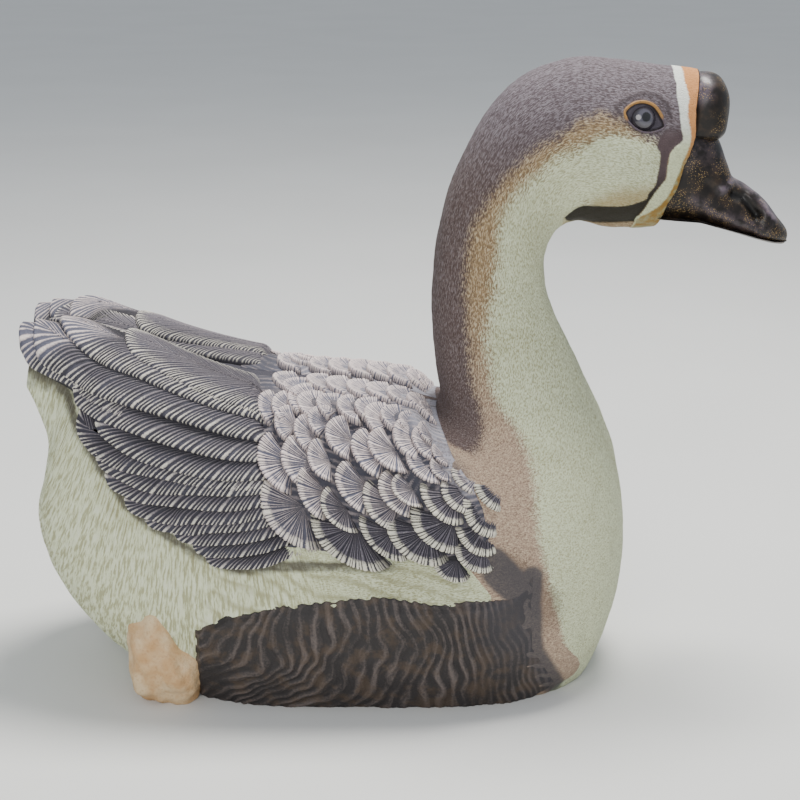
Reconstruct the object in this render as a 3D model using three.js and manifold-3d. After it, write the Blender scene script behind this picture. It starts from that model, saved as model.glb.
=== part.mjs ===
// Fired stoneware garden goose of the knob-billed kind, at life size: it rests on its belly
// with the neck raised. Millimetres, +Z up. The bill points along +X and the goose's own
// left side is +Y. The origin is the middle of the flat base, on the surface it rests on.
import * as THREE from 'three';
import { mergeVertices } from 'three/addons/utils/BufferGeometryUtils.js';
import Module from 'manifold-3d';

const wasm = await Module();
wasm.setup();

// ---- driving dimensions ----
const GAP = 0.3;              // clearance between neighbouring solids
const RING_SIDES = 26;        // facets round the body
const SUNK = 4;               // depth that wings and flank patches sit into the body
const EYE_RADIUS = 12;
const EYE_CENTRE = [202, 27.5, 447.5];
const KNOB_CENTRE = [254, 0, 453];
const KNOB_RADII = [19, 25, 26];
const FOOT_CENTRE = [-158, 74, 40];
const FOOT_RADII = [31, 33, 52];
const MANDIBLE_NARROWING = 0.9;
const FLANK_PROUD = 5;
const SQUARE_EDGE = 0.45;     // offset along corner normals that gives GAP on the faces

const COLOURS = {
  crown: 0x6a5c60, cream: 0xb9b394, breast: 0xb3ab8f, slate: 0x5a565c, quill: 0x4b4850,
  umber: 0x3a3433, glaze: 0x1f1714, iris: 0x59616b, foot: 0xb0834f,
};

// Cross-sections of the body from the bill to the tail. Each section is a flat oval across
// the goose: its front or belly point and its back point as [x, z], its half width, and how
// square the oval is (2 is an ellipse). A section that dips below the floor is cut flat.
const SECTIONS = [
  { name: 'in bill', front: [246, 368], back: [264, 470], half: 22, square: 2.0 },
  { name: 'face', front: [231, 364], back: [250, 480], half: 31, square: 2.0 },
  { name: 'eye', front: [212, 361.5], back: [222, 483.5], half: 38, square: 2.1 },
  { name: 'cheek', front: [186, 362], back: [186, 488.5], half: 45, square: 2.15 },
  { name: 'crown', front: [161, 366], back: [147, 488], half: 46, square: 2.1 },
  { name: 'occiput', front: [145, 358], back: [104, 465], half: 43.5, square: 2.0 },
  { name: 'nape', front: [137, 338], back: [72, 415], half: 42, square: 2.0 },
  { name: 'upper neck', front: [139, 313], back: [55, 362], half: 42.5, square: 2.0 },
  { name: 'mid neck', front: [151, 283], back: [50, 303], half: 46, square: 2.0 },
  { name: 'low neck', front: [172, 240], back: [53, 257], half: 56, square: 2.05 },
  { name: 'neck root', front: [196, 184], back: [57, 224], half: 76, square: 2.1 },
  { name: 'shoulder', front: [206.5, 112], back: [47, 222], half: 93, square: 2.2 },
  { name: 'breast', front: [198, 46], back: [24, 229], half: 106, square: 2.3 },
  { name: 'keel', front: [171, -13], back: [-5, 234], half: 112, square: 2.4 },
  { name: 'fore belly', front: [108, -46], back: [-40, 238], half: 115, square: 2.4 },
  { name: 'belly', front: [8, -50], back: [-72, 241], half: 116, square: 2.4 },
  { name: 'rear belly', front: [-92, -46], back: [-106, 246], half: 113, square: 2.35 },
  { name: 'vent', front: [-186, 2], back: [-143, 254], half: 103, square: 2.25 },
  { name: 'rump', front: [-243, 58], back: [-172, 262.5], half: 88, square: 2.15 },
  { name: 'stern', front: [-266, 122], back: [-197, 270], half: 72, square: 2.1 },
  { name: 'tail root', front: [-252, 186], back: [-225, 276], half: 61, square: 2.2 },
  { name: 'tail tip', front: [-264, 236], back: [-257, 279], half: 48, square: 2.4 },
  { name: 'past tail', front: [-279, 250], back: [-278, 282], half: 42, square: 2.4 },
];
// Soft swellings of the side of the head: centre and reach as [x, z], and height.
const SWELLINGS = [
  { name: 'cheek', centre: [190, 402], reach: [34, 30], height: 5 },
  { name: 'eye hollow', centre: [210, 446], reach: [15, 11], height: -3.5 },
];
// Lengths of the body, as places along the sections, and how many sections each is cut into.
const LENGTHS = {
  head: { from: 0, to: 5, steps: 11 },
  neck: { from: 5, to: 10, steps: 10 },
  breast: { from: 10, to: 12.3, steps: 5 },
  trunk: { from: 12.3, to: 19.5, steps: 13 },
  tail: { from: 19.5, to: 21, steps: 4 },
};
// Where the bill meets the face, from the forehead down to the chin, as [x, z].
const FACE_SEAM = [[252, 500], [248, 480], [244, 454], [244, 434], [240, 422], [236, 413],
  [232, 394], [226, 383], [223, 372], [216, 350]];
// The slit of the mouth from the corner to the tip, as [x, z].
const MOUTH = [[200, 375], [232, 371], [252, 369.5], [268, 365.5], [284, 361], [299, 356.5],
  [311, 353.5], [330, 351]];
// Cross-sections of the bill: bottom and top point as [x, z], and half width.
const BILL_SECTIONS = [
  { bottom: [212, 367], top: [240, 452], half: 27 },
  { bottom: [232, 366], top: [263, 434], half: 27 },
  { bottom: [252, 365], top: [273, 413.5], half: 27 },
  { bottom: [268, 361], top: [279, 400], half: 26.5 },
  { bottom: [284, 356.5], top: [291, 393.5], half: 25.5 },
  { bottom: [299, 352], top: [303, 384], half: 24 },
  { bottom: [311, 349], top: [314, 371], half: 20 },
  { bottom: [320, 348], top: [322, 361], half: 12 },
  { bottom: [323, 350], top: [324, 356], half: 4 },
];
// Places on a wing are [s, degrees]: s counts the sections, and the angle runs from the
// middle of the back (0) down the side to the belly (180).
const COVERTS_END = 15.4;
const WING_TOP = 2.5;
const COVERT_FRONT = [[0, 10.5], [0.42, 11.2], [0.6, 11.55], [0.78, 11.72], [0.9, 11.95], [1, 12.3]];
const COVERT_LOWER = [[12.3, 88], [12.75, 90], [13.2, 88], [13.8, 82], [14.6, 81.5], [15.4, 80]];
// Thickness of a wing across the back and how it grows towards the tail.
const WING_THICKNESS = [[0, 6], [30, 13], [60, 12], [80, 7.5], [95, 7]];
const WING_GROWTH = [[10, 0.8], [11.5, 0.85], [12.5, 0.95], [15, 1], [16.5, 1.35], [18, 1.75],
  [20, 1.75], [21, 1.4], [22, 1]];
const FRONT_FADE = 1.1;       // the wing rises out of the breast over this much of s
const BED_SUNK = 4;           // how far the coverts' bed lies under the wing's thickness
const BED_LEAST = 2.2;        // and its least height over the body
// The main covert feathers, scallops like roof tiles: the middle of the margin as s and
// degrees, its radius, the lean of its axis below the tailward way, and half its spread.
const SHELLS = [
  [11.95, 15, 20, -6, 70], [12.39, 77, 30, 0, 48], [12.81, 40, 22, -10, 62],
  [12.91, 68, 27, 12, 52], [12.97, 86, 23, 18, 56], [12.97, 10, 18, -8, 70],
  [13.18, 27, 16, -30, 70], [13.73, 44, 23, -10, 68], [13.75, 77, 32, 22, 56],
  [13.85, 8, 17, -8, 66], [13.93, 63, 25, 0, 56], [14.66, 78, 36, 44, 56],
  [14.69, 17, 23, -30, 62], [14.74, 36, 17, -16, 66], [14.91, 59, 23, 4, 58],
  [15.43, 69, 33, 27, 62], [15.47, 50, 26, 8, 63],
];
const SHELL_SIDES = 5;        // straight lengths of a covert's margin
const SHELL_PROUD = 1.8;      // a covert's margin stands this far over the wing's thickness
const SHELL_FLOOR = 1.2;      // its underside clears the body by this much
// Lower edge of each flight feather: its root, its middle and its tip.
const QUILL_EDGES = [
  [[15.4, 3], [18.6, 3], [21.05, 12]],
  [[15.4, 34], [18.2, 25], [21.35, 26]],
  [[15.4, 37], [17.6, 31], [21.4, 48]],
  [[15.4, 43], [18.3, 40], [20.8, 73]],
  [[15.4, 50], [17.9, 43], [19.9, 68]],
  [[15.4, 55], [17.3, 59], [19.3, 65]],
  [[15.4, 58.5], [17.1, 64], [18.75, 71.5]],
  [[15.4, 61.5], [16.8, 72.5], [18.15, 73.5]],
  [[15.4, 64.5], [16.6, 73], [17.65, 78]],
  [[15.4, 67.5], [16.3, 75], [17.25, 80]],
  [[15.4, 71], [16.1, 77], [16.9, 81]],
  [[15.4, 75], [15.95, 79.5], [16.45, 82.3]],
  [[15.4, 79.5], [15.7, 82], [16.05, 83]],
];
const QUILL_STEPS = 6;
const QUILL_LIFT = 1.5;       // a feather's lower edge stands proud of the wing's thickness
const QUILL_DIP = 5;          // the feather below starts this far under it
const FLANK_TOP = [[12.35, 99], [12.8, 95.5], [13.3, 92.5], [13.9, 89.5], [15, 89.5],
  [15.6, 91], [16.1, 95], [16.45, 104]];
const FLANK_FRONT = [[0, 12.4], [0.12, 12.7], [0.45, 13.1], [1, 13.1]];
const FLANK_BOTTOM = 138;     // below the floor, where the patch is cut flat

// ---- curves ----
const spow = (value, power) => Math.sign(value) * Math.abs(value) ** power;
const mix = (a, b, t) => a + (b - a) * t;
const smooth = (t) => t * t * (3 - 2 * t);
const upTo = (count) => Array.from({ length: count }, (_, i) => i);

// Value at x of a soft line through [x, value] pairs.
function through(pairs, x) {
  if (x <= pairs[0][0]) return pairs[0][1];
  for (let i = 1; i < pairs.length; i += 1) {
    const [x1, y1] = pairs[i];
    const [x0, y0] = pairs[i - 1];
    if (x <= x1) return mix(y0, y1, (x - x0) / (x1 - x0));
  }
  return pairs[pairs.length - 1][1];
}

const CHANNELS = SECTIONS.map((c) => [...c.front, ...c.back, c.half, c.square]);

// All six numbers of the section at s, on smooth curves through the named sections.
function sectionAt(s) {
  const last = CHANNELS.length - 1;
  const i = Math.min(Math.max(Math.floor(s), 0), last - 1);
  const t = s - i;
  const at = (k) => CHANNELS[Math.min(Math.max(i + k, 0), last)];
  return at(0).map((p1, c) => {
    const p0 = at(-1)[c];
    const p2 = at(1)[c];
    const p3 = at(2)[c];
    return 0.5 * (2 * p1 + (p2 - p0) * t + (2 * p0 - 5 * p1 + 4 * p2 - p3) * t * t
      + (3 * p1 - p0 - 3 * p2 + p3) * t * t * t);
  });
}

// Point of the body's surface at s; the angle is 0 at the back and grows to the left side.
function skin(s, angle) {
  const [fx, fz, bx, bz, half, square] = sectionAt(s);
  const up = spow(Math.cos(angle), 2 / square);
  const across = spow(Math.sin(angle), 2 / square);
  const x = (fx + bx) / 2 + (bx - fx) / 2 * up;
  const z = (fz + bz) / 2 + (bz - fz) / 2 * up;
  let y = half * across;
  for (const { centre, reach, height } of SWELLINGS) {
    const away = ((x - centre[0]) / reach[0]) ** 2 + ((z - centre[1]) / reach[1]) ** 2;
    y += Math.sign(y) * height * Math.exp(-away) * Math.abs(across);
  }
  return new THREE.Vector3(x, y, z);
}

// Point that stands a height off the body's surface, for an angle in degrees on one side.
function offSkin(s, degrees, side, height) {
  const angle = side * THREE.MathUtils.degToRad(degrees);
  const step = 0.02;
  const along = skin(s + step, angle).sub(skin(s - step, angle));
  const round = skin(s, angle + step).sub(skin(s, angle - step));
  const normal = along.cross(round).normalize();
  const [fx, fz, bx, bz] = sectionAt(s);
  const place = skin(s, angle);
  const outward = place.clone().sub(new THREE.Vector3((fx + bx) / 2, 0, (fz + bz) / 2));
  return place.addScaledVector(normal, height * Math.sign(normal.dot(outward)));
}

// ---- solids ----
// Closed geometry from points and triangles, turned so that its faces point out.
function closedGeometry(points, triangles) {
  const volume = triangles.reduce((sum, [a, b, c]) => (
    sum + points[a].dot(points[b].clone().cross(points[c]))), 0);
  const faces = volume > 0 ? triangles : triangles.map(([a, b, c]) => [a, c, b]);
  const geometry = new THREE.BufferGeometry().setFromPoints(points);
  geometry.setIndex(faces.flat());
  return geometry;
}

// Rings of equal length joined side by side, with a flat fan on each end.
function ringSolid(rings) {
  const sides = rings[0].length;
  const points = rings.flat();
  const triangles = [];
  for (let r = 0; r + 1 < rings.length; r += 1) {
    for (let k = 0; k < sides; k += 1) {
      const a = r * sides + k;
      const b = r * sides + (k + 1) % sides;
      triangles.push([a, b, b + sides], [a, b + sides, a + sides]);
    }
  }
  for (const [ring, start] of [[rings[0], 0], [rings[rings.length - 1], points.length - sides]]) {
    const centre = ring.reduce((sum, p) => sum.add(p), new THREE.Vector3()).divideScalar(sides);
    const hub = points.push(centre) - 1;
    for (let k = 0; k < sides; k += 1) {
      const rim = [start + k, start + (k + 1) % sides];
      triangles.push(start === 0 ? [hub, rim[1], rim[0]] : [hub, rim[0], rim[1]]);
    }
  }
  return closedGeometry(points, triangles);
}

// A curved slab between an outer sheet of rows x columns points and a plainer inner sheet,
// which has only the rows and columns that are listed, the first and the last among them.
function slabSolid(rows, columns, outer, inner, innerRows, innerColumns) {
  const points = [];
  const triangles = [];
  const under = new Map();
  for (let r = 0; r < rows; r += 1) {
    for (let c = 0; c < columns; c += 1) points.push(outer(r, c));
  }
  for (let r = 0; r + 1 < rows; r += 1) {
    for (let c = 0; c + 1 < columns; c += 1) {
      const a = r * columns + c;
      triangles.push([a, a + 1, a + columns + 1], [a, a + columns + 1, a + columns]);
    }
  }
  for (const r of innerRows) {
    for (const c of innerColumns) under.set(r * columns + c, points.push(inner(r, c)) - 1);
  }
  for (let i = 0; i + 1 < innerRows.length; i += 1) {
    for (let j = 0; j + 1 < innerColumns.length; j += 1) {
      const corner = (m, n) => under.get(innerRows[i + m] * columns + innerColumns[j + n]);
      triangles.push([corner(0, 0), corner(1, 1), corner(0, 1)]);
      triangles.push([corner(0, 0), corner(1, 0), corner(1, 1)]);
    }
  }
  const rim = [];
  for (let c = 0; c < columns - 1; c += 1) rim.push(c);
  for (let r = 0; r < rows - 1; r += 1) rim.push(r * columns + columns - 1);
  for (let c = columns - 1; c > 0; c -= 1) rim.push((rows - 1) * columns + c);
  for (let r = rows - 1; r > 0; r -= 1) rim.push(r * columns);
  let below = under.get(rim[0]);
  rim.forEach((a, k) => {
    const b = rim[(k + 1) % rim.length];
    triangles.push([a, below, b]);
    if (under.has(b)) {
      triangles.push([below, under.get(b), b]);
      below = under.get(b);
    }
  });
  return closedGeometry(points, triangles);
}

function solidOf(geometry) {
  const bare = geometry.clone();
  bare.deleteAttribute('normal');
  bare.deleteAttribute('uv');
  const merged = mergeVertices(bare, 1e-4);
  return new wasm.Manifold(new wasm.Mesh({
    numProp: 3,
    vertProperties: new Float32Array(merged.attributes.position.array),
    triVerts: new Uint32Array(merged.index.array),
  }));
}

function geometryOf(solid) {
  const { vertProperties, triVerts } = solid.getMesh();
  const geometry = new THREE.BufferGeometry();
  geometry.setAttribute('position', new THREE.BufferAttribute(vertProperties, 3));
  geometry.setIndex(new THREE.BufferAttribute(triVerts, 1));
  geometry.computeVertexNormals();
  return geometry;
}

// The same solid, swollen along its corner normals to make a clear pocket.
function swollen(solid, by = SQUARE_EDGE) {
  const { attributes: { position, normal }, index } = geometryOf(solid);
  const vertProperties = position.array.map((value, i) => value + normal.array[i] * by);
  return new wasm.Manifold(new wasm.Mesh({ numProp: 3, vertProperties, triVerts: index.array }));
}

// The largest of a solid's separate lumps, without the crumbs that a cut leaves.
function largestOf(solid) {
  return solid.decompose().sort((a, b) => b.volume() - a.volume())[0];
}

// A prism across the goose whose outline is given as [x, z] points.
function prismAcross(outline, halfDepth = 150) {
  const shape = new THREE.Shape(outline.map(([x, z]) => new THREE.Vector2(x, z)));
  const prism = new THREE.ExtrudeGeometry(shape, { depth: 2 * halfDepth, bevelEnabled: false });
  return solidOf(prism.rotateX(Math.PI / 2).translate(0, halfDepth, 0));
}

const aboveFloor = solidOf(new THREE.BoxGeometry(800, 400, 600).translate(0, 0, 300));

// ---- body ----
function bodyRing(s, gap) {
  const [fx, fz, bx, bz] = sectionAt(s);
  const onward = new THREE.Vector3(bz - fz, 0, fx - bx).normalize().multiplyScalar(-gap);
  const ring = [];
  for (let k = 0; k < RING_SIDES; k += 1) {
    ring.push(skin(s, (k + 0.5) / RING_SIDES * 2 * Math.PI).add(onward));
  }
  return ring;
}

// One length of the body; every length but the first starts a gap after its neighbour.
function bodyLength({ from, to, steps }) {
  const rings = [];
  for (let i = 0; i <= steps; i += 1) {
    rings.push(bodyRing(mix(from, to, i / steps), i === 0 && from > 0 ? GAP : 0));
  }
  return solidOf(ringSolid(rings)).intersect(aboveFloor);
}

// ---- wings and flanks ----
const clamped = (t) => Math.min(1, Math.max(0, t));

function wingHeight(s, degrees) {
  const upper = smooth(clamped((78 - degrees) / 35));
  const front = through(COVERT_FRONT, (degrees - WING_TOP) / (88 - WING_TOP));
  const risen = mix(0.12, 1, smooth(clamped((s - front) / FRONT_FADE)));
  return through(WING_THICKNESS, degrees) * mix(1, through(WING_GROWTH, s), upper) * risen;
}

function covertsGeometry(side) {
  const rows = 6;
  const columns = 5;
  const place = (r, c) => {
    const down = c / (columns - 1);
    const s = mix(through(COVERT_FRONT, down), COVERTS_END, (r / (rows - 1)) ** 1.2);
    return [s, mix(WING_TOP, through(COVERT_LOWER, s), down)];
  };
  const outer = (r, c) => {
    const [s, degrees] = place(r, c);
    return offSkin(s, degrees, side, Math.max(wingHeight(s, degrees) - BED_SUNK, BED_LEAST));
  };
  const inner = (r, c) => offSkin(...place(r, c), side, -SUNK);
  return slabSolid(rows, columns, outer, inner, upTo(rows), upTo(columns));
}

// One covert feather: low at the hub, which the feather ahead covers, and high at the margin.
function shellGeometry(side, [s, degrees, radius, lean, spread]) {
  const radians = THREE.MathUtils.degToRad;
  const angle = radians(degrees);
  const along = skin(s + 0.05, angle).distanceTo(skin(s - 0.05, angle)) / 0.1;
  const round = skin(s, angle + radians(0.5)).distanceTo(skin(s, angle - radians(0.5)));
  const place = (share, turn) => {
    const tailward = share * Math.cos(radians(turn + lean)) - Math.cos(radians(lean));
    const downward = share * Math.sin(radians(turn + lean)) - Math.sin(radians(lean));
    return [s + radius * tailward / along, Math.max(WING_TOP, degrees + radius * downward / round)];
  };
  const ring = [place(0.4, 0)];
  for (let k = 0; k <= SHELL_SIDES; k += 1) {
    ring.push(place(1, mix(-spread - 8, spread + 8, k / SHELL_SIDES)));
  }
  const hub = wingHeight(...ring[0]) - BED_SUNK - 0.5;
  const tops = ring.map((spot, k) => (
    k === 0 ? Math.max(hub, BED_LEAST) : wingHeight(...spot) + SHELL_PROUD));
  const points = ring.map((spot, k) => offSkin(...spot, side, tops[k]))
    .concat(ring.map((spot) => offSkin(...spot, side, SHELL_FLOOR)));
  const triangles = [];
  for (let k = 0; k < ring.length; k += 1) {
    const next = (k + 1) % ring.length;
    triangles.push([k, k + ring.length, next + ring.length], [k, next + ring.length, next]);
    if (k > 0 && next > 0) {
      triangles.push([0, k, next], [ring.length, next + ring.length, k + ring.length]);
    }
  }
  return closedGeometry(points, triangles);
}

// Place on the lower edge of flight feather k, from its root (0) to its tip (1).
function quillEdge(k, t) {
  const [root, middle, tip] = QUILL_EDGES[k];
  const bend = (a, b, c) => (1 - t) ** 2 * a + 2 * t * (1 - t) * b + t * t * c;
  return [bend(root[0], middle[0], tip[0]), bend(root[1], middle[1], tip[1])];
}

function quillsGeometry(side) {
  const feathers = QUILL_EDGES.length - 1;
  const lines = [{ feather: 0, share: 0, height: 0 }];
  for (let k = 0; k < feathers; k += 1) {
    lines.push({ feather: k, share: 0.2, height: -QUILL_DIP });
    lines.push({ feather: k, share: 1, height: QUILL_LIFT });
  }
  const place = (r, c) => {
    const { feather, share } = lines[c];
    const upper = quillEdge(feather, r / QUILL_STEPS);
    const lower = quillEdge(feather + 1, r / QUILL_STEPS);
    return [mix(upper[0], lower[0], share), mix(upper[1], lower[1], share)];
  };
  const outer = (r, c) => {
    const [s, degrees] = place(r, c);
    const thinning = r === QUILL_STEPS ? 0.55 : 1;
    const height = (wingHeight(s, degrees) + lines[c].height) * thinning;
    return offSkin(s, degrees, side, Math.max(BED_LEAST, height));
  };
  const inner = (r, c) => offSkin(...place(r, c), side, -SUNK);
  return slabSolid(QUILL_STEPS + 1, lines.length, outer, inner, upTo(QUILL_STEPS + 1),
    upTo(lines.length).filter((c) => c % 2 === 0));
}

function flankGeometry(side) {
  const rows = 8;
  const columns = 6;
  const place = (r, c) => {
    const down = c / (columns - 1);
    const s = mix(through(FLANK_FRONT, down), FLANK_TOP[FLANK_TOP.length - 1][0], r / (rows - 1));
    return [s, mix(through(FLANK_TOP, s), FLANK_BOTTOM, down)];
  };
  const outer = (r, c) => {
    const edge = Math.min(r, rows - 1 - r, c) === 0 ? 0.45 : 1;
    return offSkin(...place(r, c), side, FLANK_PROUD * edge);
  };
  const inner = (r, c) => offSkin(...place(r, c), side, -SUNK);
  return slabSolid(rows, columns, outer, inner, upTo(rows), upTo(columns));
}

// ---- bill, eyes and feet ----
function billLoft(widthShare) {
  const sides = 18;
  const rings = BILL_SECTIONS.map(({ bottom, top, half }) => {
    const ring = [];
    for (let k = 0; k < sides; k += 1) {
      const angle = (k + 0.5) / sides * 2 * Math.PI;
      const up = (1 + Math.cos(angle)) / 2;
      ring.push(new THREE.Vector3(mix(bottom[0], top[0], up), half * widthShare * Math.sin(angle),
        mix(bottom[1], top[1], up)));
    }
    return ring;
  });
  return solidOf(ringSolid(rings));
}

function ellipsoid(centre, radii, facets = [12, 8]) {
  return new THREE.SphereGeometry(1, ...facets).rotateX(Math.PI / 2).scale(...radii)
    .translate(...centre);
}

const mirrored = ([x, y, z], side) => [x, side * y, z];
const faceSide = FACE_SEAM.concat([[0, 350], [0, 500]]);
const seamClear = FACE_SEAM.map(([x, z]) => [x + SQUARE_EDGE, z]);
const billSide = seamClear.concat([[400, 350], [400, 500]]);
const aboveMouth = MOUTH.concat([[400, 351], [400, 520], [200, 520]]);
const belowMouth = MOUTH.map(([x, z]) => [x, z - GAP - 0.1]).concat([[400, 300], [200, 300]]);

const wholeBill = billLoft(1);
const upperBill = wholeBill.intersect(prismAcross(billSide)).intersect(prismAcross(aboveMouth));
const lowerBill = billLoft(MANDIBLE_NARROWING).intersect(prismAcross(billSide))
  .intersect(prismAcross(belowMouth));
const knob = solidOf(ellipsoid(KNOB_CENTRE, KNOB_RADII, [14, 9]))
  .intersect(prismAcross(billSide))
  .subtract(swollen(wholeBill));

// ---- assembly ----
const goose = new THREE.Group();
goose.name = 'stoneware_goose';

function addNode(name, solid, colour, roughness = 0.85) {
  const material = new THREE.MeshStandardMaterial({ color: colour, roughness, metalness: 0 });
  const mesh = new THREE.Mesh(geometryOf(solid), material);
  mesh.name = name;
  goose.add(mesh);
}

const SIDES = { right: -1, left: 1 };
const body = Object.fromEntries(Object.entries(LENGTHS)
  .map(([name, length]) => [name, bodyLength(length)]));
body.head = body.head.intersect(prismAcross(faceSide));

for (const [word, side] of Object.entries(SIDES)) {
  const eye = solidOf(ellipsoid(mirrored(EYE_CENTRE, side), Array(3).fill(EYE_RADIUS), [10, 6]));
  body.head = body.head.subtract(swollen(eye));
  addNode(`eye_${word}`, eye, COLOURS.iris, 0.15);

  const flank = solidOf(flankGeometry(side));
  const flankPocket = swollen(flank);
  addNode(`flank_${word}`, flank.intersect(aboveFloor), COLOURS.umber);

  const foot = solidOf(ellipsoid(mirrored(FOOT_CENTRE, side), FOOT_RADII));
  addNode(`foot_${word}`, foot.intersect(aboveFloor).subtract(flankPocket), COLOURS.foot);
  body.trunk = body.trunk.subtract(swollen(foot)).subtract(flankPocket);

  const bed = solidOf(covertsGeometry(side));
  const covertsPocket = swollen(bed);
  const shells = SHELLS.map((row) => solidOf(shellGeometry(side, row)));
  addNode(`wing_${word}_coverts`, shells.reduce((all, shell) => all.add(shell), bed), COLOURS.slate);

  const quills = solidOf(quillsGeometry(side));
  const trimmed = shells.reduce((left, shell) => left.subtract(swollen(shell, 0.7)),
    quills.subtract(covertsPocket));
  addNode(`wing_${word}_quills`, largestOf(trimmed), COLOURS.quill);
  for (const pocket of [covertsPocket, swollen(quills)]) {
    for (const name of ['breast', 'trunk', 'tail']) body[name] = body[name].subtract(pocket);
  }
}

addNode('head', largestOf(body.head), COLOURS.crown);
addNode('neck', largestOf(body.neck), COLOURS.cream);
addNode('breast', largestOf(body.breast), COLOURS.breast);
addNode('trunk', largestOf(body.trunk), COLOURS.cream);
addNode('tail', largestOf(body.tail), COLOURS.cream);
addNode('bill_upper', upperBill, COLOURS.glaze, 0.2);
addNode('bill_lower', lowerBill, COLOURS.glaze, 0.2);
addNode('bill_knob', knob, COLOURS.glaze, 0.2);

export default goose;
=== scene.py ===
import math

import bpy
import numpy as np
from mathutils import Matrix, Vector

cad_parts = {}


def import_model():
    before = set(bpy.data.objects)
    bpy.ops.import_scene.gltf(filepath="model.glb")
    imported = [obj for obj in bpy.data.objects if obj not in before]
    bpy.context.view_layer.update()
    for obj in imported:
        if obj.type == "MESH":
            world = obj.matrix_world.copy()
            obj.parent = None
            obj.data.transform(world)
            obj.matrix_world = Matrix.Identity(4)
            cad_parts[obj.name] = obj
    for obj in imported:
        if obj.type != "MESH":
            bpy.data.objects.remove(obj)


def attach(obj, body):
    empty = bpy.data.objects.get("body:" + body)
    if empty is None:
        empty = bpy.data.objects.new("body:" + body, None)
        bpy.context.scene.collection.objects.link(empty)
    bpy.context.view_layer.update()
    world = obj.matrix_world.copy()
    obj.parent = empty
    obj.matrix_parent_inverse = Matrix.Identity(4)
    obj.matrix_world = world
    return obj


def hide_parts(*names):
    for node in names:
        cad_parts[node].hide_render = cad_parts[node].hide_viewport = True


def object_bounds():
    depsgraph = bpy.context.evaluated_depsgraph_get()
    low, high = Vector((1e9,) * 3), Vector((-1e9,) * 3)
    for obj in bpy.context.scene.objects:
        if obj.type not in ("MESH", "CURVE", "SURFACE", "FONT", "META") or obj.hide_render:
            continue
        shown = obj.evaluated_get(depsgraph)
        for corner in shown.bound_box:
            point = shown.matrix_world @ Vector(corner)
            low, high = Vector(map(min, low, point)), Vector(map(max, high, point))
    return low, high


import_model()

CAD_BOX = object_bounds()
MM = 0.001

# ------------------------------------------------------------------ the lengthwise loft
# Each station is a ring round the goose: front point x z, back point x z, half width and
# squareness, from inside the bill over the neck to the tail. All lengths in millimetres.
STATIONS = np.array([
    (246, 368, 264, 470, 22, 2.0),       # 0 in the bill
    (231, 364, 250, 480, 31, 2.0),       # 1 face
    (212, 361.5, 222, 483.5, 38, 2.1),   # 2 eye
    (186, 362, 186, 488.5, 45, 2.15),    # 3 cheek
    (161, 366, 147, 488, 46, 2.1),       # 4 crown
    (145, 358, 104, 465, 43.5, 2.0),     # 5 occiput
    (137, 338, 72, 415, 42, 2.0),        # 6 nape
    (139, 313, 55, 362, 42.5, 2.0),      # 7 upper neck
    (151, 283, 50, 303, 46, 2.0),        # 8 mid neck
    (172, 240, 53, 257, 56, 2.05),       # 9 low neck
    (196, 184, 57, 224, 76, 2.1),        # 10 neck root
    (206.5, 112, 47, 222, 93, 2.2),      # 11 shoulder
    (198, 46, 24, 229, 106, 2.3),        # 12 breast
    (171, -13, -5, 234, 112, 2.4),       # 13 keel
    (108, -46, -40, 238, 115, 2.4),      # 14 fore belly
    (8, -50, -72, 241, 116, 2.4),        # 15 belly
    (-92, -46, -106, 246, 113, 2.35),    # 16 rear belly
    (-186, 2, -143, 254, 103, 2.25),     # 17 vent
    (-243, 58, -172, 262.5, 88, 2.15),   # 18 rump
    (-266, 122, -197, 270, 72, 2.1),     # 19 stern
    (-252, 186, -225, 276, 61, 2.2),     # 20 tail root
    (-264, 236, -257, 279, 48, 2.4),     # 21 tail tip
    (-279, 250, -278, 282, 42, 2.4),     # 22 past the tail
])
# Soft swellings of the face: centre x z, reach x z, height.
SWELLINGS = ((190, 402, 34, 30, 5.0), (210, 446, 15, 11, -3.5))


def catmull(table, at):
    """Rows of a table read at any place between them, on a smooth curve."""
    table, at = np.asarray(table, float), np.asarray(at, float)
    last = len(table) - 1
    low = np.clip(np.floor(at).astype(int), 0, last - 1)
    t = (at - low)[..., None]
    a, b, c, d = (table[np.clip(low + k, 0, last)] for k in (-1, 0, 1, 2))
    return 0.5 * (2 * b + (c - a) * t + (2 * a - 5 * b + 4 * c - d) * t * t
                  + (3 * b - a - 3 * c + d) * t ** 3)


def signed_power(value, power):
    return np.sign(value) * np.abs(value) ** power


def skin(s, deg):
    """A point of the goose's skin: s along the stations, deg round the ring from the back."""
    s, deg = np.broadcast_arrays(np.asarray(s, float), np.asarray(deg, float))
    ring, turn = catmull(STATIONS, s), np.radians(deg)
    front, back, half, square = ring[..., 0:2], ring[..., 2:4], ring[..., 4], ring[..., 5]
    up = signed_power(np.cos(turn), 2 / square)[..., None]
    out = signed_power(np.sin(turn), 2 / square)
    side = (front + back) / 2 + (back - front) / 2 * up
    x, z, y = side[..., 0], side[..., 1], half * out
    for cx, cz, rx, rz, height in SWELLINGS:
        swell = np.exp(-((x - cx) / rx) ** 2 - ((z - cz) / rz) ** 2)
        y = y + np.sign(y) * height * swell * np.abs(out)
    return np.stack([x, y, z], -1)


def metric(s, deg):
    """Millimetres of skin for one step of s, and for one degree."""
    e = 1e-3
    along = np.linalg.norm(skin(s + e, deg) - skin(s - e, deg), axis=-1) / (2 * e)
    around = np.linalg.norm(skin(s, deg + e) - skin(s, deg - e), axis=-1) / (2 * e)
    return along, around


def off_skin(s, deg, height):
    """The point that stands this high over the skin."""
    e = 2e-2
    along = skin(s + e, deg) - skin(s - e, deg)
    around = skin(s, deg + 10 * e) - skin(s, deg - 10 * e)
    normal = np.cross(around, along)
    normal /= np.linalg.norm(normal, axis=-1, keepdims=True) + 1e-9
    return skin(s, deg) + normal * np.asarray(height)[..., None]


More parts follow.
